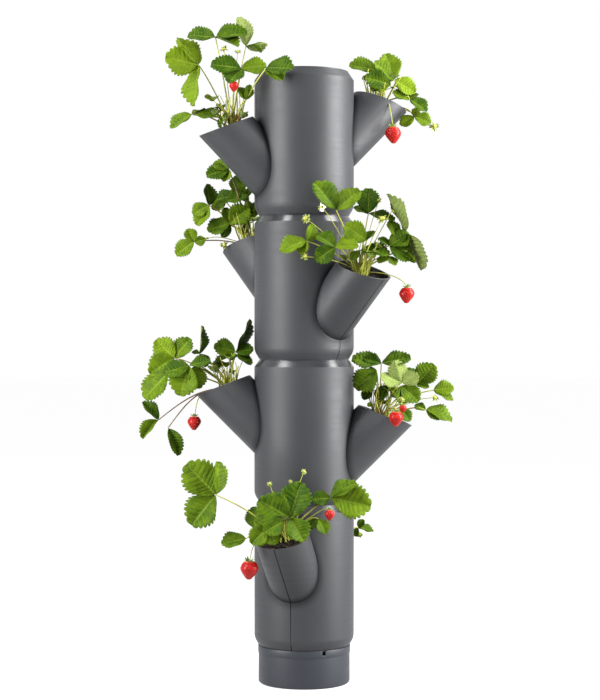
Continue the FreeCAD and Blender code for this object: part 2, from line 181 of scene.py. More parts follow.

# Each leaf from the middle of its pocket's mouth: out, side, up in millimetres, then its leaflets, each with
# its heading, pitch and roll in degrees, its length, and its tone from dark (0) to yellow-green (1). The tone
# is partly the leaflet's own colour and partly painted shade and painted sheen.
LEAVES = {
    ("bottom", "low"): (
        (26, -57, 37, ((-74, -4, 26, 28, 0.12), (-74, 58, 55, 18, 0.12), (69, -60, -85, 17, 0.25))),
        (61, -32, 66, ((-110, 25, 14, 42, 0.6), (-25, 18, -22, 46, 0.5), (46, -17, -23, 42, 0.6))),
        (36, 19, 86, ((-27, 10, 37, 46, 0.3), (55, 38, -3, 50, 0.2), (134, 5, -37, 46, 0.3))),
        (38, 58, 29, ((-25, -12, -4, 42, 0.5), (54, -6, 12, 46, 0.4), (131, 10, 8, 42, 0.5))),
        (54, 14, 47, ((-69, 4, 5, 39, 0.4), (9, 6, -2, 42, 0.3), (87, -1, -6, 39, 0.4))),
        (66, -21, 19, ((-115, 6, -7, 35, 0.7), (-38, -6, -7, 38, 0.6), (41, -8, 4, 35, 0.7))),
        (26, 74, 57, ((12, -12, 15, 37, 0.25), (87, 12, 15, 40, 0.15), (168, 17, -9, 37, 0.25))),
    ),
    ("bottom", "high"): (
        (39, -103, 70, ((-74, 46, -78, 71, 0.28), (106, 79, 154, 55, 0.35), (-74, -52, -62, 65, 0.3))),
        (16, 19, 32, ((-69, 34, -85, 60, 0.12), (122, 74, 66, 62, 0.08), (66, -46, 39, 45, 0.2))),
        (26, 12, 28, ((-58, -29, -70, 39, 0.2),)),
        (-32, 77, 63, ((101, -11, 75, 68, 0.38), (113, 38, 29, 50, 0.2), (-65, -1, -58, 32, 0.1))),
        (25, -54, -3, ((-67, -10, -34, 42, 0.25),)),
        (30, -16, 16, ((-58, -41, -61, 37, 0.35), (72, -54, 44, 31, 0.4), (-90, 37, -46, 24, 0.3))),
        (7, -44, 12, ((-127, 80, -80, 37, 0.12),)),
        (-16, 59, 29, ((72, -52, 32, 29, 0.25), (-58, -41, -39, 23, 0.15))),
    ),
    ("lower", "low"): (
        (-7, 0, 90, ((172, 21, -45, 32, 0.05), (-4, 16, 36, 52, 0.2), (176, 9, -35, 52, 0.2))),
        (-15, -26, 78, ((-170, -40, -71, 48, 0.28), (167, -9, -58, 19, 0.08))),
        (28, -24, 57, ((159, 72, 118, 40, 0.6), (2, 27, -100, 32, 0.6), (-171, 15, 138, 40, 0.5))),
        (54, 7, 53, ((2, 48, 76, 47, 0.32), (142, 64, -8, 35, 0.08), (-11, -11, 36, 23, 0.3))),
        (27, -14, 51, ((-17, -38, 63, 40, 0.26), (-43, -78, 7, 34, 0.15))),
        (84, 8, 43, ((2, 8, 50, 36, 0.5), (-6, -21, 23, 38, 0.35))),
        (70, -8, 9, ((-8, -22, 46, 32, 0.4), (8, -18, 32, 51, 0.35), (166, 31, -42, 21, 0.12))),
        (5, -8, 51, ((-164, -47, -47, 29, 0.12), (18, -46, 60, 27, 0.25))),
        (-23, -6, 47, ((-161, -49, -42, 25, 0.15),)),
        (25, -29, 11, ((2, -46, 65, 27, 0.12),)),
    ),
    ("lower", "high"): (
        (84, 13, 47, ((-7, 44, -79, 47, 0.6), (8, -27, -79, 51, 0.4), (-166, 55, 56, 44, 0.3))),
        (56, 32, 34, ((40, -64, -43, 55, 0.42), (-178, 21, 34, 37, 0.08), (8, -15, -50, 46, 0.15))),
        (49, 26, 34, ((137, -69, 17, 41, 0.35),)),
        (94, 23, 21, ((8, -42, -50, 60, 0.35),)),
        (41, 1, 55, ((-144, 79, 129, 49, 0.12), (2, 18, -40, 14, 0.2), (161, -58, 32, 26, 0.1))),
        (-20, -21, 58, ((10, 16, -64, 39, 0.22), (-169, 58, 155, 63, 0.1), (173, 14, 50, 32, 0.1))),
        (-21, -16, 53, ((2, -13, -12, 41, 0.1), (172, -29, 25, 33, 0.12))),
        (113, 4, -61, ((12, -46, -53, 43, 0.3), (2, 48, -58, 42, 0.12))),
        (96, 8, -75, ((169, -65, 54, 51, 0.08),)),
    ),
    ("upper", "low"): (
        (-26, -40, 100, ((-126, 56, -61, 59, 0.25), (38, 42, 57, 52, 0.35))),
        (-1, 13, 95, ((118, 83, 2, 45, 0.08), (39, -10, 25, 46, 0.08), (-147, 30, -29, 28, 0.12))),
        (47, 54, 63, ((-135, 73, 14, 71, 0.3), (36, -63, -26, 69, 0.2), (-109, -45, -21, 26, 0.1))),
        (19, -12, 48, ((-127, 33, -89, 45, 0.35), (69, 56, 20, 22, 0.15))),
        (-51, -86, 47, ((-129, -14, -43, 47, 0.45), (62, 57, 111, 31, 0.45), (-85, -60, -12, 26, 0.5))),
        (-13, -56, 36, ((-126, -33, -71, 39, 0.15), (37, 13, 46, 38, 0.5), (-145, 42, -41, 38, 0.08))),
        (4, -13, 32, ((39, -1, 30, 50, 0.1), (-106, -42, -28, 23, 0.2))),
        (34, 27, 40, ((53, 32, 60, 41, 0.2), (37, -27, 59, 43, 0.12), (-150, 35, -31, 23, 0.1))),
        (39, 22, 22, ((8, -48, 26, 20, 0.3), (-112, -27, -29, 23, 0.3))),
        (39, 39, 55, ((-166, 72, -22, 31, 0.25),)),
        (56, 49, 31, ((71, -61, 175, 24, 0.3),)),
    ),
    ("upper", "high"): (
        (10, 38, 135, ((59, -11, -51, 42, 0.12), (35, 31, -47, 32, 0.35), (92, -57, -16, 25, 0.3))),
        (13, 13, 91, ((-20, 81, -13, 36, 0.18), (45, -10, -48, 42, 0.08), (-150, -30, 42, 22, 0.15))),
        (20, 37, 78, ((57, -29, -49, 28, 0.2), (-143, 16, 47, 38, 0.12))),
        (31, 67, 70, ((-135, 88, 135, 39, 0.25), (55, -25, -56, 33, 0.3), (66, -58, -37, 42, 0.55))),
        (8, 39, 38, ((-126, 42, 79, 45, 0.4), (6, 75, -20, 31, 0.3), (57, -18, -56, 41, 0.12))),
        (15, 29, 35, ((62, -50, -41, 26, 0.1), (-118, 38, 29, 21, 0.2), (29, 28, -42, 32, 0.25))),
        (2, -5, 43, ((-108, 73, 34, 38, 0.25), (67, -59, -26, 26, 0.3), (45, 34, -55, 26, 0.1))),
        (11, -4, 83, ((-100, 71, 18, 27, 0.1), (45, 47, -55, 35, 0.3), (-163, -65, 24, 24, 0.2))),
        (39, 96, 4, ((53, -29, -62, 39, 0.45), (22, 62, -54, 27, 0.35), (-149, 11, 108, 21, 0.35))),
    ),
    ("top", "low"): (
        (47, -5, 104, ((7, 8, -89, 60, 0.55), (-35, 57, -21, 62, 0.5), (5, -80, -9, 71, 0.5))),
        (17, -6, 153, ((-24, 8, -44, 49, 0.1), (167, 15, 39, 56, 0.12), (130, -16, 16, 49, 0.15))),
        (-37, -4, 140, ((-42, 76, 78, 53, 0.75), (162, 7, -115, 37, 0.6), (142, -14, 19, 31, 0.2))),
        (-21, 23, 97, ((-12, 13, -53, 52, 0.05), (32, -37, -25, 41, 0.08), (162, 9, 55, 43, 0.4))),
        (-55, 58, 94, ((135, -2, 47, 49, 0.12), (129, -31, 36, 38, 0.3))),
        (-26, 29, 43, ((162, 67, 135, 27, 0.2), (11, 64, -67, 23, 0.3))),
        (55, -18, 20, ((-11, -28, -37, 44, 0.4), (144, -1, 30, 48, 0.3), (-158, 30, 2, 27, 0.3))),
        (2, 10, 23, ((19, -56, 12, 30, 0.1),)),
    ),
    ("top", "high"): (
        (23, -8, 41, ((141, 74, -58, 50, 0.5), (-18, -27, 62, 44, 0.8), (-177, 44, -60, 46, 0.4))),
        (-2, 11, 58, ((162, 16, -42, 50, 0.35), (16, 50, 17, 28, 0.3))),
        (12, -23, 29, ((168, 16, -72, 48, 0.15), (170, -15, -36, 37, 0.7))),
        (48, -21, 5, ((172, 28, -53, 33, 0.3), (-27, -29, 46, 36, 0.12), (23, 36, 12, 23, 0.3))),
        (52, -33, -27, ((173, -26, -57, 29, 0.55), (-18, -16, 70, 31, 0.35), (-87, 46, 134, 19, 0.65))),
    ),
}
# The leaves on brown runners, and those that hang folded, by their place in their plant's list.
RUNNERS = {("lower", "high"): (7, 8), ("upper", "high"): (0, 8), ("top", "low"): (6,)}
WILTED = {("lower", "high"): (7, 8), ("top", "low"): (2,)}
# Each fruit: out, side, up of its top, and its diameter, in millimetres.
BERRIES = {
    ("bottom", "high"): ((24, -49, -41, 28), (-19, 78, 44, 16)),
    ("lower", "low"): ((18, -49, 7, 23), (30, -33, 18, 12)),
    ("lower", "high"): ((50, 7, -55, 22),),
    ("upper", "low"): ((52, 52, -31, 24),),
    ("top", "low"): ((-4, 37, 71, 15),),
    ("top", "high"): ((2, -58, -50, 26),),
}
# Each flower or bud: out, side, up, its width in millimetres, and how many petals it still has.
FLOWERS = {
    ("bottom", "high"): ((10, -18, 88, 11, 0), (-9, 13, 91, 9, 0), (-10, 36, 108, 12, 0)),
    ("lower", "low"): ((86, -7, 30, 17, 0), (29, -44, 28, 12, 0)),
    ("upper", "low"): (
        (-39, -60, 104, 18, 3), (-58, -79, 85, 20, 0), (-46, -95, 20, 18, 0),
        (36, 8, 84, 24, 0), (15, 22, 117, 16, 0), (36, 36, 98, 10, 0),
    ),
    ("upper", "high"): ((5, 55, -2, 19, 0), (31, 73, 11, 10, 0)),
    ("top", "low"): ((2, -6, 134, 18, 0), (-18, 11, 127, 16, 0)),
    ("top", "high"): ((89, -34, -43, 22, 0),),
}


class PlasticSettings(bpy.types.PropertyGroup):
    """The moulded plastic of the tower and its cup."""

    color: bpy.props.FloatVectorProperty(
        name="Tower colour", description="Colour of the storeys and the lid", subtype="COLOR", size=3,
        min=0, max=1, default=(0.0215, 0.0225, 0.0255))
    cup_color: bpy.props.FloatVectorProperty(
        name="Cup colour", description="Colour of the water cup", subtype="COLOR", size=3,
        min=0, max=1, default=(0.0135, 0.0165, 0.024))
    roughness: bpy.props.FloatProperty(
        name="Roughness", description="How matt the grained walls are", subtype="FACTOR", min=0, max=1,
        default=0.5)
    shoulder_roughness: bpy.props.FloatProperty(
        name="Shoulder roughness", description="How matt the smooth ledges are", subtype="FACTOR",
        min=0, max=1, default=0.2)
    grain_size: bpy.props.FloatProperty(
        name="Grain size", description="Width of one grain of the texture", unit="LENGTH", subtype="DISTANCE",
        min=0.0002, max=0.01, default=0.0012)
    rim_roughness: bpy.props.FloatProperty(
        name="Rim roughness", description="How matt the pockets' rims are", subtype="FACTOR",
        min=0, max=1, default=0.2)
    edge_radius: bpy.props.FloatProperty(
        name="Edge rounding", description="Radius of the rounding on rims", unit="LENGTH", subtype="DISTANCE",
        min=0, max=0.002, default=0.0006)
    foot_radius: bpy.props.FloatProperty(
        name="Foot rounding", description="Size of the rounding above a storey's foot", unit="LENGTH",
        subtype="DISTANCE", min=0, max=0.01, default=0.006)
    seam_radius: bpy.props.FloatProperty(
        name="Seam bevel", description="Width of the bevel along a seam", unit="LENGTH", subtype="DISTANCE",
        min=0, max=0.001, default=0.0005)


class LeafSettings(bpy.types.PropertyGroup):
    """The leaves and stalks."""

    # Leaflets mix these two by their tone, which is partly their own colour and partly painted shade and
    # painted sheen.
    dark: bpy.props.FloatVectorProperty(
        name="Dark leaf", description="Colour of an old leaf", subtype="COLOR", size=3, min=0, max=1,
        default=(0.018, 0.054, 0.0015))
    bright: bpy.props.FloatVectorProperty(
        name="Bright leaf", description="Colour of a young leaf", subtype="COLOR", size=3, min=0, max=1,
        default=(0.175, 0.262, 0.008))
    vein: bpy.props.FloatVectorProperty(
        name="Vein", description="Colour of the veins", subtype="COLOR", size=3, min=0, max=1,
        default=(0.27, 0.38, 0.045))
    underside: bpy.props.FloatVectorProperty(
        name="Underside", description="Colour of a leaf from below", subtype="COLOR", size=3, min=0, max=1,
        default=(0.30, 0.38, 0.11))
    stalk: bpy.props.FloatVectorProperty(
        name="Stalk", description="Colour of the stalks", subtype="COLOR", size=3, min=0, max=1,
        default=(0.42, 0.44, 0.075))
    teeth: bpy.props.IntProperty(
        name="Teeth", description="Teeth along one side of a leaflet", min=4, max=20, default=10)
    shoots: bpy.props.IntProperty(
        name="Shoots", description="Young leaves near each crown", min=0, max=20, default=6)
    wisps: bpy.props.IntProperty(
        name="Thin stalks", description="Thin bare stalks near each crown", min=0, max=60, default=26)
    thickness: bpy.props.FloatProperty(
        name="Blade thickness", description="Thickness of a leaflet", unit="LENGTH", subtype="DISTANCE",
        min=0.0001, max=0.002, default=0.0005)
    stalk_radius: bpy.props.FloatProperty(
        name="Stalk radius", description="Radius of a leaf's stalk", unit="LENGTH", subtype="DISTANCE",
        min=0.0003, max=0.003, default=0.00115)


class BerrySettings(bpy.types.PropertyGroup):
    """The fruit and flowers."""

    flesh: bpy.props.FloatVectorProperty(
        name="Flesh", description="Colour of a ripe berry", subtype="COLOR", size=3, min=0, max=1,
        default=(0.42, 0.009, 0.008))
    seed: bpy.props.FloatVectorProperty(
        name="Seeds", description="Colour of the seeds", subtype="COLOR", size=3, min=0, max=1,
        default=(0.62, 0.20, 0.04))
    seeds: bpy.props.IntProperty(
        name="Seed count", description="Seeds on one berry", min=20, max=300, default=110)
    sepals: bpy.props.IntProperty(
        name="Sepals", description="Green leaves round the top of a berry", min=5, max=16, default=10)


class SoilSettings(bpy.types.PropertyGroup):
    """The potting soil."""

    color: bpy.props.FloatVectorProperty(
        name="Soil", description="Colour of the moist soil", subtype="COLOR", size=3, min=0, max=1,
        default=(0.016, 0.0105, 0.007))
    crumbs: bpy.props.IntProperty(
        name="Crumbs", description="Loose crumbs in one pocket", min=0, max=600, default=190)
    crumb_size: bpy.props.FloatProperty(
        name="Crumb size", description="Width of a large crumb", unit="LENGTH", subtype="DISTANCE",
        min=0.001, max=0.01, default=0.005)


class StageSettings(bpy.types.PropertyGroup):
    """The floor, lights and camera."""

    floor: bpy.props.FloatVectorProperty(
        name="Floor", description="Colour of the floor", subtype="COLOR", size=3, min=0, max=1,
        default=(0.24, 0.24, 0.24))
    ambient: bpy.props.FloatProperty(
        name="Ambient", description="Light from all round", min=0, max=2, default=0.36)
    left_power: bpy.props.FloatProperty(
        name="Left strip", description="Power of the tall lamp on the left", min=0, max=300, default=51)
    right_power: bpy.props.FloatProperty(
        name="Right strip", description="Power of the tall lamp on the right", min=0, max=300, default=90)


def feed(tree, socket, value):
    """Gives an input its value, or links it where the value is a socket."""
    if isinstance(value, bpy.types.NodeSocket):
        tree.links.new(value, socket)
    else:
        socket.default_value = value


def node(tree, kind, **values):
    """A new shader node with its properties and its inputs set."""
    made = tree.nodes.new(kind)
    for key, value in values.items():
        if hasattr(made, key) and key not in made.inputs:
            setattr(made, key, value)
        else:
            feed(tree, made.inputs[key], value)
    return made


def new_group(name, inputs, outputs):
    """An empty shader group with named sockets, and its two end nodes."""
    group = bpy.data.node_groups.new(name, "ShaderNodeTree")
    for label, kind, value in inputs:
        socket = group.interface.new_socket(name=label, in_out="INPUT", socket_type=kind)
        socket.default_value = value
    for label, kind in outputs:
        group.interface.new_socket(name=label, in_out="OUTPUT", socket_type=kind)
    return group, group.nodes.new("NodeGroupInput"), group.nodes.new("NodeGroupOutput")


# The sockets of a Mix node for numbers and for colours: the factor, the two inputs and the output. They can't
# be told by name, because each kind of value has its own A, B and Result.
MIX_SOCKETS = {"FLOAT": (0, 2, 3, 0), "RGBA": (0, 6, 7, 2)}


def mix(tree, kind, *values):
    """The mix, by a factor, of two numbers or of two colours, each a socket or its value."""
    made = node(tree, "ShaderNodeMix", data_type=kind)
    *inputs, output = MIX_SOCKETS[kind]
    for index, value in zip(inputs, values):
        feed(tree, made.inputs[index], value)
    return made.outputs[output]


def mix_color(tree, factor, first, second):
    """The mix of two colours, each a socket or three channels."""
    colors = [color if isinstance(color, bpy.types.NodeSocket) else (*color, 1) for color in (first, second)]
    return mix(tree, "RGBA", factor, *colors)


def math_node(tree, operation, *values, clamp=False):
    """The result of a maths node on sockets or numbers."""
    made = node(tree, "ShaderNodeMath", operation=operation, use_clamp=clamp)
    for socket, value in zip(made.inputs, values):
        feed(tree, socket, value)
    return made.outputs[0]


def vector_node(tree, operation, *values):
    """The result of a vector maths node on sockets or on fixed vectors."""
    made = node(tree, "ShaderNodeVectorMath", operation=operation)
    for socket, value in zip(made.inputs, values):
        feed(tree, socket, value)
    return made.outputs["Value" if operation == "LENGTH" else "Vector"]


def off_from(tree, value, target):
    """How far a number is from another, either way."""
    return math_node(tree, "ABSOLUTE", math_node(tree, "SUBTRACT", value, target))


def map_range(tree, value, low, high, to_low, to_high):
    """The value carried from one range to another, smoothly and clamped."""
    made = node(tree, "ShaderNodeMapRange", interpolation_type="SMOOTHSTEP", Value=value)
    for label, number in (("From Min", low), ("From Max", high), ("To Min", to_low), ("To Max", to_high)):
        made.inputs[label].default_value = number
    return made.outputs["Result"]


def noise_value(tree, vector, scale, detail=2.0, roughness=0.5):
    """The value of a noise at a vector."""
    made = node(tree, "ShaderNodeTexNoise", Vector=vector, Scale=scale, Detail=detail, Roughness=roughness)
    return made.outputs["Fac"]


def axis_of(tree, vector, axis):
    """One axis of a vector."""
    return node(tree, "ShaderNodeSeparateXYZ", Vector=vector).outputs[axis]


def grain_group():
    """Moulded grain: a height, a roughness that varies a little, and a faint colour change."""
    group, start, end = new_group(
        "Moulded grain",
        [("Vector", "NodeSocketVector", (0, 0, 0)), ("Scale", "NodeSocketFloat", 800.0),
         ("Roughness", "NodeSocketFloat", 0.4), ("Color", "NodeSocketColor", (0.1, 0.1, 0.1, 1))],
        [("Color", "NodeSocketColor"), ("Roughness", "NodeSocketFloat"), ("Height", "NodeSocketFloat")])
    place = start.outputs["Vector"]
    fine = noise_value(group, place, start.outputs["Scale"], 3.0, 0.6)
    clouds = noise_value(group, place, 9.0, 4.0, 0.55)
    rings = noise_value(group, vector_node(group, "MULTIPLY", place, (3, 3, 260)), 1.0)
    rough = start.outputs["Roughness"]
    for change in (
        map_range(group, clouds, *NARROW, -0.03, 0.04),
        map_range(group, fine, *WIDE, -0.03, 0.03),
        map_range(group, rings, *NARROW, -0.025, 0.025),
    ):
        rough = math_node(group, "ADD", rough, change, clamp=True)
    shade = map_range(group, clouds, *WIDE, 0.93, 1.06)
    speck = map_range(group, fine, *NARROW, 0.94, 1.06)
    light = math_node(group, "MULTIPLY", shade, speck)
    feed(group, end.inputs["Color"], vector_node(group, "MULTIPLY", start.outputs["Color"], light))
    feed(group, end.inputs["Roughness"], rough)
    feed(group, end.inputs["Height"], fine)
    return group


def vein_group():
    """Veins on a leaflet: a mask along the midrib and the side veins, read from the leaflet's own map."""
    group, start, end = new_group(
        "Leaf veins",
        [("Vector", "NodeSocketVector", (0, 0, 0)), ("Pairs", "NodeSocketFloat", 10.0),
         ("Width", "NodeSocketFloat", 0.16)],
        [("Mask", "NodeSocketFloat"), ("Height", "NodeSocketFloat")])
    place = start.outputs["Vector"]
    from_rib = math_node(group, "MULTIPLY_ADD", axis_of(group, place, "Y"), 2.0, -1.0)
    across = math_node(group, "ABSOLUTE", from_rib)
    pairs = math_node(group, "MULTIPLY", axis_of(group, place, "X"), start.outputs["Pairs"])
    off_vein = off_from(group, math_node(group, "FRACT", pairs), 0.5)
    taper = map_range(group, across, 0.0, 1.0, 1.0, 0.35)
    width = math_node(group, "MULTIPLY", start.outputs["Width"], taper)
    side = math_node(group, "SUBTRACT", 1.0, math_node(group, "DIVIDE", off_vein, width), clamp=True)
    rib = map_range(group, across, 0.02, 0.09, 1.0, 0.0)
    mask = math_node(group, "MAXIMUM", math_node(group, "MULTIPLY", side, 0.65), rib, clamp=True)
    cells = node(group, "ShaderNodeTexVoronoi", feature="DISTANCE_TO_EDGE", Vector=place, Scale=26.0)
    off_cell = cells.outputs["Distance"]
    net = map_range(group, off_cell, 0.0, 0.12, 0.28, 0.0)
    feed(group, end.inputs["Mask"], math_node(group, "MAXIMUM", mask, net))
    puff = map_range(group, off_cell, 0.0, 0.3, 0.0, 0.5)
    feed(group, end.inputs["Height"], math_node(group, "SUBTRACT", puff, mask))
    return group


def mottle_group():
    """Earthy mottling: a mask of crumbs and a height."""
    group, start, end = new_group(
        "Earth mottle",
        [("Vector", "NodeSocketVector", (0, 0, 0)), ("Scale", "NodeSocketFloat", 300.0)],
        [("Mask", "NodeSocketFloat"), ("Height", "NodeSocketFloat")])
    place = start.outputs["Vector"]
    scale = start.outputs["Scale"]
    crumbs = noise_value(group, place, scale, 6.0, 0.7)
    bits = node(group, "ShaderNodeTexVoronoi", Vector=place, Scale=scale).outputs["Distance"]
    feed(group, end.inputs["Mask"], map_range(group, crumbs, 0.4, 0.68, 0.0, 1.0))
    feed(group, end.inputs["Height"], math_node(group, "SUBTRACT", crumbs, bits))
    return group


GROUPS = {"grain": grain_group, "veins": vein_group, "mottle": mottle_group}


def place_group(tree, name, vector, **values):
    """A shared group, made the first time it is asked for, with its vector and values."""
    label = "dress_" + name
    if label not in bpy.data.node_groups:
        GROUPS[name]().name = label
    return node(tree, "ShaderNodeGroup", node_tree=bpy.data.node_groups[label], Vector=vector, **values)


def start_material(name, **shader_values):
    """A material with its node tree and its shader, and the texture coordinates."""
    material = bpy.data.materials.new(name)
    material.use_nodes = True
    tree = material.node_tree
    shader = tree.nodes["Principled BSDF"]
    for label, value in shader_values.items():
        shader.inputs[label.replace("_", " ")].default_value = value
    return material, tree, shader, tree.nodes.new("ShaderNodeTexCoord").outputs


def finish_shader(tree, shader, color, roughness, height, depth, strength=0.7):
    """Gives a shader its colour, its roughness and the bump of its grain, of a depth in metres."""
    feed(tree, shader.inputs["Base Color"], color)
    feed(tree, shader.inputs["Roughness"], roughness)
    bump = node(tree, "ShaderNodeBump", Strength=strength, Distance=depth, Height=height)
    feed(tree, shader.inputs["Normal"], bump.outputs["Normal"])


def storey_masks(tree, place):
    """From the height alone: 1 on the smooth ledges between storeys, and 1 along the fine moulded lines."""
    up = axis_of(tree, place, "Z")
    above_foot = math_node(tree, "SUBTRACT", up, STOREYS["bottom"][1] * MM)
    in_storey = math_node(tree, "FLOORED_MODULO", above_foot, PITCH * MM)
    smooth = map_range(tree, in_storey, (SHOULDER_UP - 0.6) * MM, (SHOULDER_UP + 0.4) * MM, 0.0, 1.0)
    under_lid = math_node(tree, "LESS_THAN", up, (STOREYS["top"][1] + SHOULDER_UP - 10) * MM)
    ledge = math_node(tree, "MULTIPLY", smooth, under_lid)
    lines = 0.0
    for line_up in LINES_UP:
        line = map_range(tree, off_from(tree, in_storey, line_up * MM), 0.0, LINE_REACH * MM, 1.0, 0.0)
        lines = math_node(tree, "MAXIMUM", lines, line)
    return ledge, lines


def pocket_gap(tree):
    """How far a storey's surface is from the line where a pocket meets the body, in millimetres."""
    place = node(tree, "ShaderNodeAttribute", attribute_name="storey_place").outputs["Vector"]
    from_middle = vector_node(tree, "LENGTH", vector_node(tree, "MULTIPLY", place, (1, 1, 0)))
    off_body = off_from(tree, from_middle, BODY_RADIUS)
    gaps = []
    for start, sides in zip(POCKET_STARTS, ((1, 1, 1), (-1, -1, 1))):
        facing = vector_node(tree, "MULTIPLY", place, sides)
        from_start = vector_node(tree, "SUBTRACT", facing, start)
        from_axis = vector_node(tree, "LENGTH", vector_node(tree, "CROSS_PRODUCT", from_start, POCKET_ALONG))
        off_both = math_node(tree, "MAXIMUM", off_from(tree, from_axis, POCKET_RADIUS), off_body)
        gaps.append(math_node(tree, "MAXIMUM", off_both, axis_of(tree, facing, "Y")))
    return math_node(tree, "MINIMUM", *gaps)


def plastic_material(name, color, rough, settings, storeys=False):
    """Satin moulded plastic with a fine grain, and on storeys smooth ledges, fine lines and painted shade in
    creases.
    """
    material, tree, shader, coordinates = start_material(name, Specular_IOR_Level=0.44)
    place = coordinates["Object"]
    if storeys:
        ledge, lines = storey_masks(tree, place)
        rough = mix(tree, "FLOAT", ledge, rough, settings.shoulder_roughness)
    grain = place_group(
        tree, "grain", place, Scale=1 / settings.grain_size, Roughness=rough, Color=(*color, 1)).outputs
    height = grain["Height"]
    shown = grain["Color"]
    if storeys:
        gap = pocket_gap(tree)
        # Painted shade along the crease: near the junction the colour goes to near black and the plastic
        # turns metal, so its gloss goes too.
        dark = math_node(
            tree, "MAXIMUM", map_range(tree, gap, *CREASE_PAINTED_LINE), map_range(tree, gap, *CREASE_PAINTED_SHADE))
        shown = mix_color(tree, dark, shown, (0.001, 0.001, 0.001))
        feed(tree, shader.inputs["Metallic"], dark)
        height = math_node(tree, "MULTIPLY_ADD", lines, 3.0, height)
        height = math_node(tree, "ADD", height, map_range(tree, gap, *CREASE_DIP))
    finish_shader(tree, shader, shown, grain["Roughness"], height, 0.00004, 0.6)
    return material


def tone_of(tree):
    """The tone that a plant's mesh carries."""
    return node(tree, "ShaderNodeAttribute", attribute_name="tone").outputs["Fac"]


def leaf_material(settings):
    """The upper face of a leaf."""
    material, tree, shader, coordinates = start_material("leaf_top", Specular_IOR_Level=0.05)
    veins = place_group(tree, "veins", coordinates["UV"], Pairs=float(settings.teeth)).outputs
    blotch = noise_value(tree, coordinates["Object"], 70.0, 4.0, 0.6)
    tone = math_node(tree, "ADD", tone_of(tree), map_range(tree, blotch, *WIDE, -0.16, 0.16), clamp=True)
    blade = mix_color(tree, tone, settings.dark, settings.bright)
    veined = mix_color(tree, math_node(tree, "MULTIPLY", veins["Mask"], 0.38), blade, settings.vein)
    rough = map_range(tree, blotch, *WIDE, 0.34, 0.5)
    finish_shader(tree, shader, veined, rough, veins["Height"], 0.0003)
    return material


def underside_material(settings):
    """The pale lower face of a leaf, with raised veins."""
    material, tree, shader, coordinates = start_material("leaf_underside", Specular_IOR_Level=0.04)
    veins = place_group(tree, "veins", coordinates["UV"], Pairs=float(settings.teeth), Width=0.2).outputs
    # A low tone darkens the lower face to 0.35 of its colour: partly its own colour, partly painted shade.
    shaded = [0.35 * channel for channel in settings.underside]
    blade = mix_color(tree, tone_of(tree), shaded, settings.underside)
    veined = mix_color(tree, math_node(tree, "MULTIPLY", veins["Mask"], 0.3), blade, settings.vein)
    rough = map_range(tree, noise_value(tree, coordinates["Object"], 900.0), *WIDE, 0.6, 0.78)
    raised = math_node(tree, "MULTIPLY", veins["Height"], -1.0)
    finish_shader(tree, shader, veined, rough, raised, 0.0005, 0.8)
    return material


def stalk_material(settings):
    """Stalks from yellow-green to reddish, with fine hairs for grain."""
    material, tree, shader, coordinates = start_material("stalk", Specular_IOR_Level=0.1)
    red = map_range(tree, noise_value(tree, coordinates["Object"], 22.0), 0.52, 0.72, 0.0, 0.75)
    hairs = noise_value(tree, coordinates["Object"], 1400.0)
    color = mix_color(tree, red, settings.stalk, (0.23, 0.075, 0.03))
    finish_shader(tree, shader, color, map_range(tree, hairs, *WIDE, 0.5, 0.75), hairs, 0.0003)
    return material


def flesh_material(settings):
    """Glossy red flesh, paler by the calyx."""
    material, tree, shader, coordinates = start_material(
        "berry_flesh", Specular_IOR_Level=0.14, Coat_Weight=0.08, Coat_Roughness=0.15, Subsurface_Weight=0.1,
        Subsurface_Scale=0.003)
    blush = noise_value(tree, coordinates["Object"], 160.0, 3.0)
    near_top = map_range(tree, axis_of(tree, coordinates["UV"], "Y"), 0.82, 1.0, 0.0, 0.55)
    deep = [0.72 * channel for channel in settings.flesh]
    ripe = mix_color(tree, map_range(tree, blush, *NARROW, 0.0, 1.0), settings.flesh, deep)
    color = mix_color(tree, near_top, ripe, (0.85, 0.25, 0.10))
    finish_shader(tree, shader, color, map_range(tree, blush, *WIDE, 0.2, 0.34), blush, 0.0002, 0.5)
    return material


def plain_grainy(name, color, other, scale, roughness, depth=0.0002, **shader_values):
    """A material that varies between two colours on a fine noise."""
    material, tree, shader, coordinates = start_material(name, **shader_values)
    grain = noise_value(tree, coordinates["Object"], scale, 4.0, 0.6)
    varied = mix_color(tree, map_range(tree, grain, *NARROW, 0.0, 1.0), color, other)
    rough = map_range(tree, grain, *WIDE, roughness - 0.06, roughness + 0.06)
    finish_shader(tree, shader, varied, rough, grain, depth)
    return material


def soil_material(settings):
    """Moist potting soil."""
    material, tree, shader, coordinates = start_material("soil", Specular_IOR_Level=0.25)
    mottle = place_group(tree, "mottle", coordinates["Object"], Scale=420.0).outputs
    light = [2.4 * channel for channel in settings.color]
    color = mix_color(tree, mottle["Mask"], settings.color, light)
    rough = map_range(tree, mottle["Mask"], 0.0, 1.0, 0.72, 0.95)
    finish_shader(tree, shader, color, rough, mottle["Height"], 0.0012, 1.0)
    return material


def finish_piece(bm, name, materials, body, slot, replaced=()):
    """Turns a bmesh into a piece of the tower that rides on a body."""
    mesh = bpy.data.meshes.new(name)
    bm.to_mesh(mesh)
    bm.free()
    if "custom_normal" in mesh.attributes:
        mesh.attributes.remove(mesh.attributes["custom_normal"])
    for material in materials:
        mesh.materials.append(material)
    piece = bpy.data.objects.new(name, mesh)
    bpy.context.scene.collection.objects.link(piece)
    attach(piece, body)
    if replaced:
        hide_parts(*replaced)
    return piece


def paint_node(name, material):
    """Gives its material to a node of the CAD model that is shown as it is."""
    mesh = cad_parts[name].data
    mesh.materials.clear()
    mesh.materials.append(material)


def finish_faces(vertices, material_index):
    """Smooths the faces of a shape just made from those vertices, and gives them one of its materials."""
    for face in {face for vertex in vertices for face in vertex.link_faces}:
        face.material_index = material_index
        face.smooth = True


def pocket_turn(storey, pocket):
    """How far a pocket is turned from -Y towards +X, in radians."""
    return math.radians(STOREYS[storey][0] + (180 if pocket == "high" else 0))


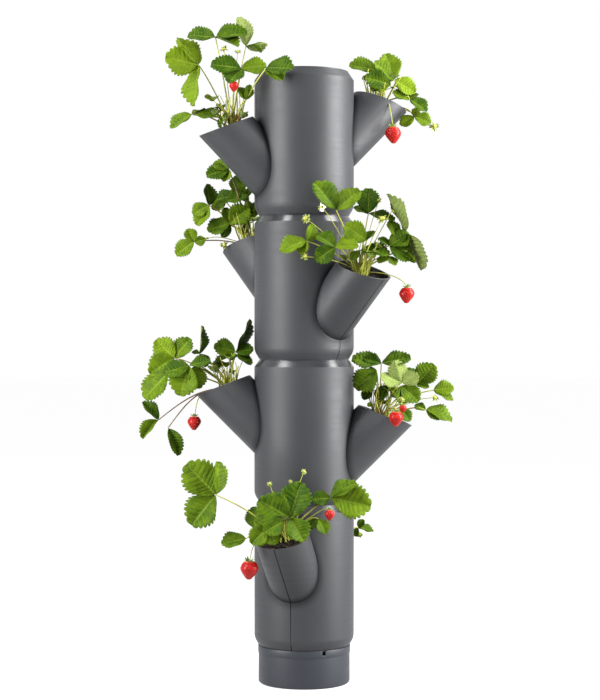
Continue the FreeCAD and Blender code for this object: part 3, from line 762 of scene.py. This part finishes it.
def pocket_matrix(storey, pocket):
    """From millimetres out along -Y, sideways along X and up from the middle of a mouth, to the frame."""
    return (
        Matrix.Scale(MM, 4)
        @ Matrix.Translation((0, 0, STOREYS[storey][1] + MOUTH_UP[pocket]))
        @ Matrix.Rotation(pocket_turn(storey, pocket), 4, "Z")
        @ Matrix.Translation((0, -MOUTH_OUT, 0))
    )


def storey_matrix(storey):
    """From the frame to a storey's own millimetres, where its low pocket faces -Y."""
    turn, foot = STOREYS[storey]
    return (
        Matrix.Rotation(math.radians(-turn), 4, "Z")
        @ Matrix.Translation((0, 0, -foot))
        @ Matrix.Scale(1 / MM, 4)
    )


def in_pocket(out, side, up):
    """A point of a pocket's own frame."""
    return Vector((side, -out, up))


def mouth_frames(storey):
    """From the frame to the middles of a storey's two mouths."""
    return [pocket_matrix(storey, pocket).inverted() for pocket in POCKETS]


def on_rim(spot, near):
    """Whether a spot of a pocket's own frame lies on the rim of its mouth."""
    return abs(spot.z - MOUTH_SLOPE * spot.y) < near and spot.xy.length < RIM_REACH


def shade_smooth(bm):
    """Smooth faces, with the edges over an angle kept sharp."""
    for face in bm.faces:
        face.smooth = True
    for edge in bm.edges:
        if len(edge.link_faces) == 2:
            edge.smooth = edge.calc_face_angle(0.0) < math.radians(SMOOTH_ANGLE)


def rounded_copy(name, roundings):
    """A node's form with its curved walls smooth, and the edges that pass each test rounded."""
    bm = bmesh.new()
    bm.from_mesh(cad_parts[name].data)
    for layer in list(bm.loops.layers.uv):
        bm.loops.layers.uv.remove(layer)
    bmesh.ops.remove_doubles(bm, verts=bm.verts, dist=WELD)
    bmesh.ops.dissolve_limit(bm, angle_limit=math.radians(FLAT_ANGLE), verts=bm.verts, edges=bm.edges)
    for wanted, radius, segments, index in roundings:
        edges = [edge for edge in bm.edges if edge.is_manifold and edge.is_convex and wanted(edge)]
        if edges and radius > 0:
            bmesh.ops.bevel(bm, geom=edges, offset=radius, offset_type="OFFSET", affect="EDGES",
                            segments=segments, profile=0.5, material=index, clamp_overlap=False)
    shade_smooth(bm)
    return bm


def on_foot(storey):
    """A test for the edges where a storey's wall turns in to its foot."""
    level = (STOREYS[storey][1] + FOOT_TURN) * MM
    least = (BODY_RADIUS - ON_FOOT) * MM

    def test(edge):
        ends = [vertex.co for vertex in edge.verts]
        return all(abs(end.z - level) < ON_WALL * MM and end.xy.length > least for end in ends)

    return test


def on_outside(point):
    """Whether a point of a storey's own millimetres, on its seam, lies on the foot, the wall or a pocket."""
    from_middle = point.xy.length
    if point.z < CONE_TOP:
        inset = FOOT_INSET * (1 - min(point.z, FOOT_TURN) / FOOT_TURN)
        return from_middle > BODY_RADIUS - inset - ON_CONE
    if from_middle <= BODY_RADIUS - ON_WALL:
        return False
    flipped = Vector((-point.x, -point.y, point.z))
    gaps = [(spot - start).cross(POCKET_ALONG).length for spot, start in zip((point, flipped), POCKET_STARTS)]
    return from_middle < BODY_RADIUS + ON_WALL or any(abs(gap - POCKET_RADIUS) < ON_POCKET for gap in gaps)


def on_seam(storey):
    """A test for the outer edges of the seam between a storey's half shells."""
    to_storey = storey_matrix(storey)

    def test(edge):
        ends = [to_storey @ vertex.co for vertex in edge.verts]
        if not all(abs(end.x) < ON_SEAM and on_outside(end) for end in ends):
            return False
        shortest = SEAM_LENGTH_ON_CONE if ends[0].z < CONE_TOP else SEAM_LENGTH
        return edge.calc_face_angle(0.0) > math.radians(SEAM_ANGLE) and (ends[0] - ends[1]).length > shortest

    return test


def on_mouth(storey):
    """A test for the edges that lie on the rim of one of a storey's mouths."""
    frames = mouth_frames(storey)

    def test(edge):
        if edge.calc_face_angle(0.0) < math.radians(RIM_ANGLE) or edge.calc_length() < RIM_LENGTH * MM:
            return False
        return any(all(on_rim(matrix @ vertex.co, RIM_EDGE) for vertex in edge.verts) for matrix in frames)

    return test


def turned_edge(edge):
    """A test for the long sharp edges of a turned piece."""
    return edge.calc_face_angle(0.0) > math.radians(TURNED_ANGLE) and edge.calc_length() > TURNED_LENGTH * MM


def mark_places(bm, storey):
    """Lets each vertex of a half shell carry its place in its storey's own millimetres."""
    layer = bm.verts.layers.float_vector.new("storey_place")
    to_storey = storey_matrix(storey)
    for vertex in bm.verts:
        vertex[layer] = to_storey @ vertex.co


def mark_rims(bm, storey):
    """Gives the faces on the rims of the pockets the second material, a lighter copy of the plastic: painted
    highlight.
    """
    frames = mouth_frames(storey)
    for face in bm.faces:
        middle = face.calc_center_median()
        if any(on_rim(matrix @ middle, RIM_FACE) for matrix in frames):
            face.material_index = 1


def leaflet_half(share):
    """Half the width of a leaflet, as a share of its greatest, along its length."""
    return math.sin(math.pi * min(max(share, 0.0), 1.0) ** 1.12) ** 0.7


def add_leaflet(bm, matrix, length, width, tone, teeth, rng, wilt):
    """A serrated, folded and veined leaflet in its own millimetres: it points along -Y and faces +Z."""
    tones = bm.verts.layers.float["tone"]
    made = bmesh.ops.create_grid(
        bm, x_segments=teeth * TOOTH_ROWS, y_segments=LEAFLET_COLUMNS, size=0.5, calc_uvs=True)
    fold = math.tan(math.radians(rng.uniform(*LEAFLET_FOLD) + wilt))
    droop = rng.uniform(*LEAFLET_DROOP)
    wave = rng.uniform(0, math.tau)
    twist = rng.uniform(-LEAFLET_TWIST, LEAFLET_TWIST)
    bend = rng.uniform(-LEAFLET_BEND, LEAFLET_BEND)
    for vertex in made["verts"]:
        along = vertex.co.x + 0.5
        across = vertex.co.y * 2
        edge = abs(across)
        tooth = (along * teeth) % 1.0
        crown = math.sin(math.pi * tooth) ** 0.7 if 0.001 < tooth < 0.999 else 0.0
        toothed = min(1.0, max(0.0, (along - TEETH_START) * 6)) * edge ** 4
        rib = along ** 1.75
        x = length * (rib + (along - rib) * edge ** 0.85 + TOOTH_POINT * crown * toothed)
        y = length * width * leaflet_half(along) * across * (1 - TOOTH_DEPTH * (1 - crown) * toothed)
        puff = abs(math.cos(math.pi * tooth)) * (edge * (1 - edge)) ** 0.5
        ripple = math.sin(along * 11 + wave + across) * edge ** 2
        z = abs(y) * fold * (1 - 0.35 * edge) + y * twist * along
        z += length * (0.04 * puff + 0.03 * ripple - droop * along ** 2)
        vertex.co = matrix @ Vector((y + bend * length * along ** 2, -x, z))
        vertex[tones] = tone
    finish_faces(made["verts"], 0)


def add_leaf(bm, pocket, row, teeth, rng, wilt):
    """The leaflets of one leaf, all from the point where they meet."""
    out, side, up, leaflets = row
    place = pocket @ Matrix.Translation(in_pocket(out, side, up))
    for heading, pitch, roll, length, tone in leaflets:
        turn = (
            Matrix.Rotation(math.radians(heading), 4, "Z")
            @ Matrix.Rotation(math.radians(-pitch), 4, "X")
            @ Matrix.Rotation(math.radians(roll), 4, Vector((0, -1, 0)))
        )
        aim = place @ turn @ Matrix.Translation((0, -0.02 * length, 0))
        width = rng.uniform(*LEAFLET_WIDTH) * (WILT_WIDTH if wilt else 1.0)
        shade = tone + rng.uniform(-TONE_CHANGE, TONE_CHANGE)
        add_leaflet(bm, aim, length * 0.98, width, shade, teeth, rng, wilt)


def stalk_points(row, drop_in=0.0):
    """A stalk from the crown over the pocket's rim to a row's place, in the pocket's own millimetres."""
    end = in_pocket(*row[:3])
    root = in_pocket(CROWN_OUT, 0, -4)
    run = Vector((end.x - root.x, end.y - root.y, 0))
    rim = POCKET_RADIUS + STALK_CLEAR
    along = root.dot(run) / max(run.length, 1e-6)
    crossing = math.sqrt(along ** 2 + rim ** 2 - root.x ** 2 - root.y ** 2) - along
    share = crossing / run.length if crossing < run.length else 0.5
    middle = root + (end - root) * share + Vector((0, 0, 8))
    middle.z = max(middle.z, MOUTH_SLOPE * middle.y + 5)
    points = [root, root.lerp(middle, 0.5) + Vector((0, 0, 2)), middle]
    if drop_in:
        points.append(end + Vector((0, 0, drop_in)) - run.normalized() * 3)
    else:
        points.append(middle.lerp(end, 0.55) + Vector((0, 0, 2.5)))
    points.append(end)
    return points


def add_tubes(bm, lines, matrix, material_index):
    """Round stalks along smooth lines, each given as its points and its radius in metres."""
    curve = bpy.data.curves.new("lines", "CURVE")
    curve.dimensions = "3D"
    curve.bevel_depth = 1.0
    curve.bevel_resolution = 2
    curve.resolution_u = 5
    curve.use_fill_caps = True
    for points, radius in lines:
        spline = curve.splines.new("NURBS")
        last = len(points) - 1
        spline.points.add(last)
        for index, point in enumerate(points):
            spline.points[index].co = (*(matrix @ point), 1)
            spline.points[index].radius = radius * (1.25 - 0.45 * index / last)
        spline.order_u = 4
        spline.use_endpoint_u = True
        spline.use_smooth = True
    carrier = bpy.data.objects.new("lines", curve)
    mesh = bpy.data.meshes.new_from_object(carrier)
    known = len(bm.verts)
    bm.from_mesh(mesh)
    bm.verts.ensure_lookup_table()
    finish_faces(bm.verts[known:], material_index)
    bpy.data.objects.remove(carrier)
    bpy.data.curves.remove(curve)
    bpy.data.meshes.remove(mesh)


def add_blade(bm, matrix, length, width, curl, material_index):
    """A small pointed leaf, such as a sepal, that points along -Y and curls up by its share."""
    made = bmesh.ops.create_grid(bm, x_segments=6, y_segments=2, size=0.5, calc_uvs=True)
    for vertex in made["verts"]:
        along = vertex.co.x + 0.5
        across = vertex.co.y * 2
        half = width * math.sin(math.pi * (0.12 + 0.88 * along)) ** 0.8 / 2
        lift = curl * length * along ** 2 + abs(across) * half * 0.35
        vertex.co = matrix @ Vector((across * half, -length * along * (1 - 0.3 * abs(curl) * along), lift))
    finish_faces(made["verts"], material_index)


def add_lump(bm, matrix, detail, roughness, rng, material_index):
    """A small rounded lump of irregular form."""
    made = bmesh.ops.create_icosphere(bm, subdivisions=detail, radius=0.5, calc_uvs=False)
    shift = Vector((rng.uniform(0, 50), rng.uniform(0, 50), rng.uniform(0, 50)))
    for vertex in made["verts"]:
        push = 1 + roughness * noise.noise(vertex.co * 3 + shift)
        vertex.co = matrix @ (vertex.co * push)
    finish_faces(made["verts"], material_index)


def ring(matrix, number, tilts, lift, rng):
    """The places of a ring of sepals round the top of a stalk, with each one's tilt in degrees."""
    for index in range(number):
        turn = Matrix.Rotation(math.tau * (index + rng.uniform(-0.2, 0.2)) / number, 4, "Z")
        tilt = Matrix.Rotation(math.radians(rng.uniform(*tilts)), 4, "X")
        yield matrix @ turn @ Matrix.Translation((0, 0, lift)) @ tilt


def berry_radius(share):
    """The radius of a berry, as a share of its size, from its tip at 0 to its top at 1."""
    return 0.56 * math.sin(math.pi * (0.06 + 0.80 * share)) ** 0.62 * (0.6 + 0.4 * min(1.0, share * 1.6))


def add_flesh(bm, matrix, size, spots, lean):
    """The flesh of a berry, with a dimple at each of its seeds' spots."""
    made = bmesh.ops.create_uvsphere(bm, u_segments=40, v_segments=26, radius=0.5, calc_uvs=True)
    for vertex in made["verts"]:
        share = vertex.co.z + 0.5
        flat = Vector((vertex.co.x, vertex.co.y))
        off_pole = flat.length > 1e-5
        radius = berry_radius(share) if off_pole else 0.0
        direction = flat.normalized() if off_pole else flat
        place = Vector((*(direction * radius), BERRY_HEIGHT * (share - 1)))
        near = min((place - spot).length for spot in spots)
        dimple = DIMPLE_DEPTH * max(0.0, 1 - near / DIMPLE_REACH)
        place.xy *= 1 - dimple / max(radius, 0.05)
        vertex.co = matrix @ ((place + lean * (share - 1) ** 2) * size)
    finish_faces(made["verts"], 0)


def add_berry(bm, matrix, size, seeds, sepals, rng):
    """A ripe berry that hangs down from its top: flesh, seeds and a ring of sepals."""
    spots = []
    for index in range(seeds):
        share = 0.05 + 0.86 * (index + 0.5) / seeds
        angle = index * GOLDEN_ANGLE
        radius = berry_radius(share)
        spots.append(Vector((radius * math.cos(angle), radius * math.sin(angle), BERRY_HEIGHT * (share - 1))))
    lean = Vector((rng.uniform(-0.06, 0.06), rng.uniform(-0.06, 0.06), 0))
    add_flesh(bm, matrix, size, spots, lean)
    for spot in spots:
        outward = Vector((spot.x, spot.y, 0.12)).normalized()
        turn = outward.to_track_quat("X", "Z").to_matrix().to_4x4()
        share = spot.z / BERRY_HEIGHT + 1
        seat = spot - outward * SEED_SUNK + lean * (share - 1) ** 2
        grow = Matrix.Diagonal((*SEED_SIZE, 1))
        add_lump(bm, matrix @ Matrix.Scale(size, 4) @ Matrix.Translation(seat) @ turn @ grow, 1, 0.0, rng, 1)
    for place in ring(matrix, sepals, (-18, 12), 0.01 * size, rng):
        add_blade(bm, place, size * rng.uniform(0.36, 0.5), size * 0.16, rng.uniform(0.1, 0.7), 2)


def add_flower(bm, matrix, width, petals, rng):
    """A flower: sepals, the petals that are left, and its middle."""
    for place in ring(matrix, CALYX_LEAVES, (-10, 25), 0, rng):
        add_blade(bm, place, width * 0.5, width * 0.17, rng.uniform(-0.2, 0.5), 0)
    for index in range(petals):
        turn = Matrix.Rotation(math.tau * index / PETALS + 0.3, 4, "Z")
        lift = Matrix.Translation((0, 0, 0.08 * width))
        add_blade(bm, matrix @ lift @ turn, width * PETAL_SIZE[0], width * PETAL_SIZE[1], 0.25, 1)
    lift = Matrix.Translation((0, 0, 0.1 * width))
    grow = Matrix.Diagonal((*(width * share for share in MIDDLE_SIZE), 1))
    add_lump(bm, matrix @ lift @ grow, 2, 0.25, rng, 2)


def add_crumb(bm, matrix, width, is_chip, rng):
    """A crumb of soil up to so many millimetres wide, or a chip of bark, somewhere in a pocket."""
    reach = (POCKET_RADIUS - WALL - CRUMB_MARGIN) * math.sqrt(rng.random())
    angle = rng.uniform(0, math.tau)
    out = reach * math.cos(angle)
    side = reach * math.sin(angle)
    size = width * rng.uniform(0.35, 1.0)
    seat = in_pocket(out, side, SOIL_UP - MOUTH_SLOPE * out + size * 0.12)
    turn = Matrix.Rotation(rng.uniform(0, math.tau), 4, "Z")
    tilt = Matrix.Rotation(rng.uniform(-0.5, 0.5), 4, "X")
    length = size * (CHIP_LENGTH if is_chip else 1.0)
    grow = Matrix.Diagonal((length, size * rng.uniform(0.5, 0.9), size * rng.uniform(0.4, 0.8), 1))
    add_lump(bm, matrix @ Matrix.Translation(seat) @ (turn @ tilt) @ grow, 2, 0.8, rng, int(is_chip))


def shoots_of(rng, number):
    """Young leaves near the crown, in the form of leaf rows."""
    rows = []
    for _ in range(number):
        angle = rng.uniform(0, 360)
        reach = rng.uniform(*SHOOT_REACH)
        out = reach * math.cos(math.radians(angle))
        side = reach * math.sin(math.radians(angle))
        length = rng.uniform(*SHOOT_LENGTH)
        tone = rng.uniform(0.2, 0.8)
        pitch = rng.uniform(*SHOOT_PITCH)
        leaflets = tuple(
            (angle + spread, pitch, rng.uniform(-50, 50), length, tone) for spread in SHOOT_SPREAD)
        rows.append((out, side, rng.uniform(*SHOOT_UP), leaflets))
    return rows


def wisp_of(rng):
    """The points of a thin bare stalk that rises from the crown."""
    angle = rng.uniform(0, math.tau)
    start = in_pocket(-8 + WISP_RING * math.cos(angle), WISP_RING * math.sin(angle), -5 - 5 * math.cos(angle))
    lean = Vector((rng.uniform(-0.5, 0.5), rng.uniform(-0.55, 0.35), 1))
    rise = rng.uniform(*WISP_RISE)
    bow = Vector((rng.uniform(-4, 4), rng.uniform(-4, 4), 0))
    end = start + lean * rise
    return [start, start.lerp(end, 0.4) + bow, start.lerp(end, 0.75) + bow, end]


def leaves_of(plant, rows, teeth, rng):
    """All the leaves of a plant, welded where leaflets meet."""
    bm = bmesh.new()
    bm.verts.layers.float.new("tone")
    bm.loops.layers.uv.new("UVMap")
    matrix = pocket_matrix(*plant)
    wilted = WILTED.get(plant, ())
    for index, row in enumerate(rows):
        add_leaf(bm, matrix, row, teeth, rng, WILT_FOLD if index in wilted else 0.0)
    bmesh.ops.remove_doubles(bm, verts=bm.verts, dist=WELD)
    return bm


def stalks_of(plant, rows, shoots, settings, rng):
    """The stalks and runners of a plant, and the lumps of its crown."""
    radius = settings.stalk_radius
    runners = RUNNERS.get(plant, ())
    green = []
    brown = []
    for index, row in enumerate(rows):
        lines = brown if index in runners else green
        lines.append((stalk_points(row), radius))
    green += [(stalk_points(row), radius * SHOOT_STALK) for row in shoots]
    for row in BERRIES.get(plant, ()):
        green.append((stalk_points(row, drop_in=row[3] * 0.45), radius * BERRY_STALK))
    green += [(stalk_points(row), radius * FLOWER_STALK) for row in FLOWERS.get(plant, ())]
    green += [(wisp_of(rng), radius * rng.uniform(*WISP_STALK)) for _ in range(settings.wisps)]
    matrix = pocket_matrix(*plant)
    bm = bmesh.new()
    add_tubes(bm, green, matrix, 0)
    if brown:
        add_tubes(bm, brown, matrix, 1)
    for _ in range(CROWN_LUMPS):
        angle = rng.uniform(0, math.tau)
        seat = in_pocket(CROWN_OUT + CROWN_RING * math.cos(angle), CROWN_RING * math.sin(angle), -7)
        grow = Matrix.Diagonal((*CROWN_LUMP, 1))
        add_lump(bm, matrix @ Matrix.Translation(seat) @ grow, 2, 0.4, rng, 0)
    return bm


def thicken_blades(piece, thickness):
    """Gives the blades of a piece their thickness, with the lower face in the second material."""
    solidify = piece.modifiers.new("Blade thickness", "SOLIDIFY")
    solidify.thickness = thickness
    solidify.offset = 0.0
    solidify.material_offset = 1
    solidify.material_offset_rim = 0


def lamp(name, place, aim, width, height, power):
    """A soft rectangular lamp that faces a point."""
    data = bpy.data.lights.new(name, "AREA")
    data.shape = "RECTANGLE"
    data.size = width
    data.size_y = height
    data.energy = power
    made = bpy.data.objects.new(name, data)
    made.location = place
    made.rotation_euler = (Vector(aim) - Vector(place)).to_track_quat("-Z", "Y").to_euler()
    bpy.context.scene.collection.objects.link(made)


def seen_directly(tree):
    """1 where the camera, gloss or glass sees a surface, and 0 where it lights another one."""
    path = tree.nodes.new("ShaderNodeLightPath").outputs
    seen = math_node(tree, "MAXIMUM", path["Is Camera Ray"], path["Is Glossy Ray"])
    return math_node(tree, "MAXIMUM", seen, path["Is Transmission Ray"])


class PLANTER_OT_shells(bpy.types.Operator):
    """Dress the eight half shells"""

    bl_idname = "planter.shells"
    bl_label = "Half shells"

    def execute(self, context):
        settings = context.scene.planter_plastic
        wall = plastic_material("tower_plastic", settings.color, settings.roughness, settings, storeys=True)
        # The rims take the plastic half as light again: painted highlight along the pockets' rims.
        bright = [1.5 * channel for channel in settings.color]
        rim = plastic_material("rim_plastic_painted_highlight", bright, settings.rim_roughness, settings)
        seam = plain_grainy(
            "seam_shadow", (0.002, 0.002, 0.002), (0.004, 0.004, 0.004), 800.0, 0.9, Specular_IOR_Level=0.0)
        for storey in STOREYS:
            roundings = (
                (on_mouth(storey), settings.edge_radius, 2, -1),
                (on_foot(storey), settings.foot_radius, 4, -1),
                (on_seam(storey), settings.seam_radius, 1, 2),
            )
            for hand in ("left", "right"):
                name = f"{storey}_{hand}_half_shell"
                bm = rounded_copy(name, roundings)
                mark_rims(bm, storey)
                mark_places(bm, storey)
                body = f"{storey}_storey"
                finish_piece(bm, f"{name}_moulding", [wall, rim, seam], body, "tower_plastic", (name,))
        return {"FINISHED"}


class PLANTER_OT_cup_and_lid(bpy.types.Operator):
    """Dress the water cup and the lid"""

    bl_idname = "planter.cup_and_lid"
    bl_label = "Water cup and lid"

    def execute(self, context):
        settings = context.scene.planter_plastic
        for name, finish, color, radius, slot in (
            ("water_cup", "cup_plastic", settings.cup_color, settings.edge_radius, "cup_plastic"),
            ("lid", "lid_plastic", settings.color, settings.edge_radius * 0.7, "tower_plastic"),
        ):
            material = plastic_material(finish, color, settings.roughness, settings)
            bm = rounded_copy(name, ((turned_edge, radius, 2, -1),))
            finish_piece(bm, f"{name}_moulding", [material], name, slot, (name,))
        return {"FINISHED"}


class PLANTER_OT_floor_grids(bpy.types.Operator):
    """Give the slotted floors their plastic"""

    bl_idname = "planter.floor_grids"
    bl_label = "Floor grids"

    def execute(self, context):
        settings = context.scene.planter_plastic
        color = [0.6 * channel for channel in settings.color]
        material = plastic_material("grid_plastic", color, settings.roughness, settings)
        for storey in STOREYS:
            paint_node(f"{storey}_floor_grid", material)
        return {"FINISHED"}


class PLANTER_OT_soil(bpy.types.Operator):
    """Give the soil its colour, and strew crumbs in the pockets"""

    bl_idname = "planter.soil"
    bl_label = "Soil"

    def execute(self, context):
        settings = context.scene.planter_soil
        material = soil_material(settings)
        chip = plain_grainy("bark_chip", (0.10, 0.055, 0.025), (0.045, 0.022, 0.012), 500.0, 0.8)
        for storey in STOREYS:
            paint_node(f"{storey}_soil", material)
            for pocket in POCKETS:
                rng = random.Random(f"{storey} {pocket} soil")
                matrix = pocket_matrix(storey, pocket)
                bm = bmesh.new()
                for index in range(settings.crumbs):
                    add_crumb(bm, matrix, settings.crumb_size / MM, index % CHIP_EVERY == 0, rng)
                finish_piece(bm, f"{storey}_{pocket}_crumbs", [material, chip], f"{storey}_storey", "soil")
        return {"FINISHED"}


class PLANTER_OT_plants(bpy.types.Operator):
    """Grow the eight strawberry plants"""

    bl_idname = "planter.plants"
    bl_label = "Plants"

    def execute(self, context):
        settings = context.scene.planter_leaf
        leaf_finish = [leaf_material(settings), underside_material(settings)]
        stalk = stalk_material(settings)
        runner = plain_grainy("runner", (0.11, 0.06, 0.03), (0.2, 0.12, 0.05), 60.0, 0.6)
        for plant, rows in LEAVES.items():
            storey, pocket = plant
            name = f"{storey}_{pocket}"
            body = f"{storey}_storey"
            rng = random.Random(f"{storey} {pocket} plant")
            shoots = shoots_of(rng, settings.shoots)
            bm = leaves_of(plant, (*rows, *shoots), settings.teeth, rng)
            leaves = finish_piece(bm, f"{name}_leaves", leaf_finish, body, "leaf", (f"{name}_plant",))
            thicken_blades(leaves, settings.thickness)
            bm = stalks_of(plant, rows, shoots, settings, rng)
            finish_piece(bm, f"{name}_stalks", [stalk, runner], body, "leaf")
        return {"FINISHED"}


class PLANTER_OT_berries(bpy.types.Operator):
    """Hang the ripe berries"""

    bl_idname = "planter.berries"
    bl_label = "Berries"

    def execute(self, context):
        settings = context.scene.planter_berry
        flesh = flesh_material(settings)
        dark_seed = [0.7 * channel for channel in settings.seed]
        seed = plain_grainy("berry_seed", settings.seed, dark_seed, 900.0, 0.45)
        sepal = plain_grainy("sepal", (0.10, 0.25, 0.03), (0.22, 0.36, 0.06), 260.0, 0.5)
        for (storey, pocket), rows in BERRIES.items():
            rng = random.Random(f"{storey} {pocket} berries")
            matrix = pocket_matrix(storey, pocket)
            bm = bmesh.new()
            bm.loops.layers.uv.new("UVMap")
            for out, side, up, size in rows:
                place = matrix @ Matrix.Translation(in_pocket(out, side, up))
                add_berry(bm, place, size, settings.seeds, settings.sepals, rng)
            name = f"{storey}_{pocket}_berries"
            body = f"{storey}_storey"
            fruit = finish_piece(bm, f"{name}_ripe", [flesh, seed, sepal], body, "berry", (name,))
            fruit.visible_shadow = False  # a lamp would draw a dark patch on the pocket behind it
        return {"FINISHED"}


class PLANTER_OT_flowers(bpy.types.Operator):
    """Add the flowers and buds"""

    bl_idname = "planter.flowers"
    bl_label = "Flowers"

    def execute(self, context):
        sepal = plain_grainy("calyx", (0.34, 0.36, 0.06), (0.16, 0.24, 0.035), 160.0, 0.55)
        petal = plain_grainy("petal", (0.86, 0.86, 0.80), (0.78, 0.80, 0.70), 200.0, 0.6)
        middle = plain_grainy("flower_middle", (0.50, 0.45, 0.08), (0.30, 0.36, 0.06), 900.0, 0.7, 0.0005)
        for (storey, pocket), rows in FLOWERS.items():
            rng = random.Random(f"{storey} {pocket} flowers")
            matrix = pocket_matrix(storey, pocket)
            forwards = Matrix.Rotation(-pocket_turn(storey, pocket), 4, "Z")
            bm = bmesh.new()
            bm.loops.layers.uv.new("UVMap")
            for out, side, up, width, petals in rows:
                tilt = Matrix.Rotation(rng.uniform(0.5, 1.3), 4, "X")
                lean = Matrix.Rotation(rng.uniform(-0.5, 0.5), 4, "Y")
                place = matrix @ Matrix.Translation(in_pocket(out, side, up)) @ forwards @ (tilt @ lean)
                add_flower(bm, place, width, petals, rng)
            name = f"{storey}_{pocket}_flowers"
            finish_piece(bm, name, [sepal, petal, middle], f"{storey}_storey", "leaf")
        return {"FINISHED"}


class PLANTER_OT_stage(bpy.types.Operator):
    """Set the floor, the lamps and the camera"""

    bl_idname = "planter.stage"
    bl_label = "Stage"

    def execute(self, context):
        scene = context.scene
        settings = scene.planter_stage
        material, tree, shader, _ = start_material(
            "floor", Base_Color=(*settings.floor, 1), Roughness=0.9, Specular_IOR_Level=0.0,
            Emission_Color=(1, 1, 1, 1))
        feed(tree, shader.inputs["Emission Strength"], math_node(tree, "MULTIPLY", seen_directly(tree), 0.9))
        bm = bmesh.new()
        bmesh.ops.create_circle(bm, cap_ends=True, segments=96, radius=FLOOR_RADIUS)
        mesh = bpy.data.meshes.new("floor")
        bm.to_mesh(mesh)
        bm.free()
        mesh.materials.append(material)
        floor = bpy.data.objects.new("floor", mesh)
        floor.location = (0, 0, FLOOR_UP)
        scene.collection.objects.link(floor)

        scene.world = bpy.data.worlds.new("studio")
        scene.world.use_nodes = True
        tree = scene.world.node_tree
        background = tree.nodes["Background"]
        background.inputs["Color"].default_value = (1, 1, 1, 1)
        strength = math_node(tree, "MAXIMUM", seen_directly(tree), settings.ambient)
        feed(tree, background.inputs["Strength"], strength)

        lamp("left_strip", (-1.29, -0.81, 0.98), UPPER_AIM, 0.64, 1.8, settings.left_power)
        lamp("right_strip", (1.48, -0.36, 1.02), UPPER_AIM, 0.85, 1.8, settings.right_power)
        lamp("top_left", (-0.85, -0.22, 2.1), MIDDLE_AIM, 0.5, 0.6, 14)
        lamp("top_right", (1.05, 0.1, 1.95), MIDDLE_AIM, 0.5, 0.6, 14)
        lamp("front_fill", (0.1, -1.9, 2.0), FRONT_AIM, 1.2, 0.8, 6.5)

        data = bpy.data.cameras.new("camera")
        data.lens = CAMERA_LENS
        data.shift_y = CAMERA_SHIFT
        camera = bpy.data.objects.new("camera", data)
        camera.location = CAMERA_PLACE
        camera.rotation_euler = (math.radians(90), 0, 0)
        scene.collection.objects.link(camera)
        scene.camera = camera
        scene.view_settings.view_transform = "Standard"
        return {"FINISHED"}


class PLANTER_PT_panel(bpy.types.Panel):
    """The tower's pieces and their settings"""

    bl_idname = "PLANTER_PT_panel"
    bl_label = "Planter tower"
    bl_space_type = "VIEW_3D"
    bl_region_type = "UI"
    bl_category = "Planter"

    def draw(self, context):
        for group_name in GROUP_TYPES:
            group = getattr(context.scene, group_name)
            for setting in group.bl_rna.properties.keys():
                if setting not in ("rna_type", "name"):
                    self.layout.prop(group, setting)
        for operator in OPERATORS:
            self.layout.operator(operator.bl_idname)


GROUP_TYPES = {
    "planter_plastic": PlasticSettings,
    "planter_leaf": LeafSettings,
    "planter_berry": BerrySettings,
    "planter_soil": SoilSettings,
    "planter_stage": StageSettings,
}
OPERATORS = (
    PLANTER_OT_shells,
    PLANTER_OT_cup_and_lid,
    PLANTER_OT_floor_grids,
    PLANTER_OT_soil,
    PLANTER_OT_plants,
    PLANTER_OT_berries,
    PLANTER_OT_flowers,
    PLANTER_OT_stage,
)


def register():
    """Adds the settings, operators and panel to Blender."""
    for kind in (*GROUP_TYPES.values(), *OPERATORS, PLANTER_PT_panel):
        bpy.utils.register_class(kind)
    for name, kind in GROUP_TYPES.items():
        setattr(bpy.types.Scene, name, bpy.props.PointerProperty(type=kind))


def unregister():
    """Takes them out again."""
    for name in GROUP_TYPES:
        delattr(bpy.types.Scene, name)
    for kind in (PLANTER_PT_panel, *reversed(OPERATORS), *GROUP_TYPES.values()):
        bpy.utils.unregister_class(kind)


def main():
    """Dresses the tower."""
    register()
    bpy.ops.planter.shells()
    bpy.ops.planter.cup_and_lid()
    bpy.ops.planter.floor_grids()
    bpy.ops.planter.soil()
    bpy.ops.planter.plants()
    bpy.ops.planter.berries()
    bpy.ops.planter.flowers()
    bpy.ops.planter.stage()


if __name__ == "__main__":
    main()
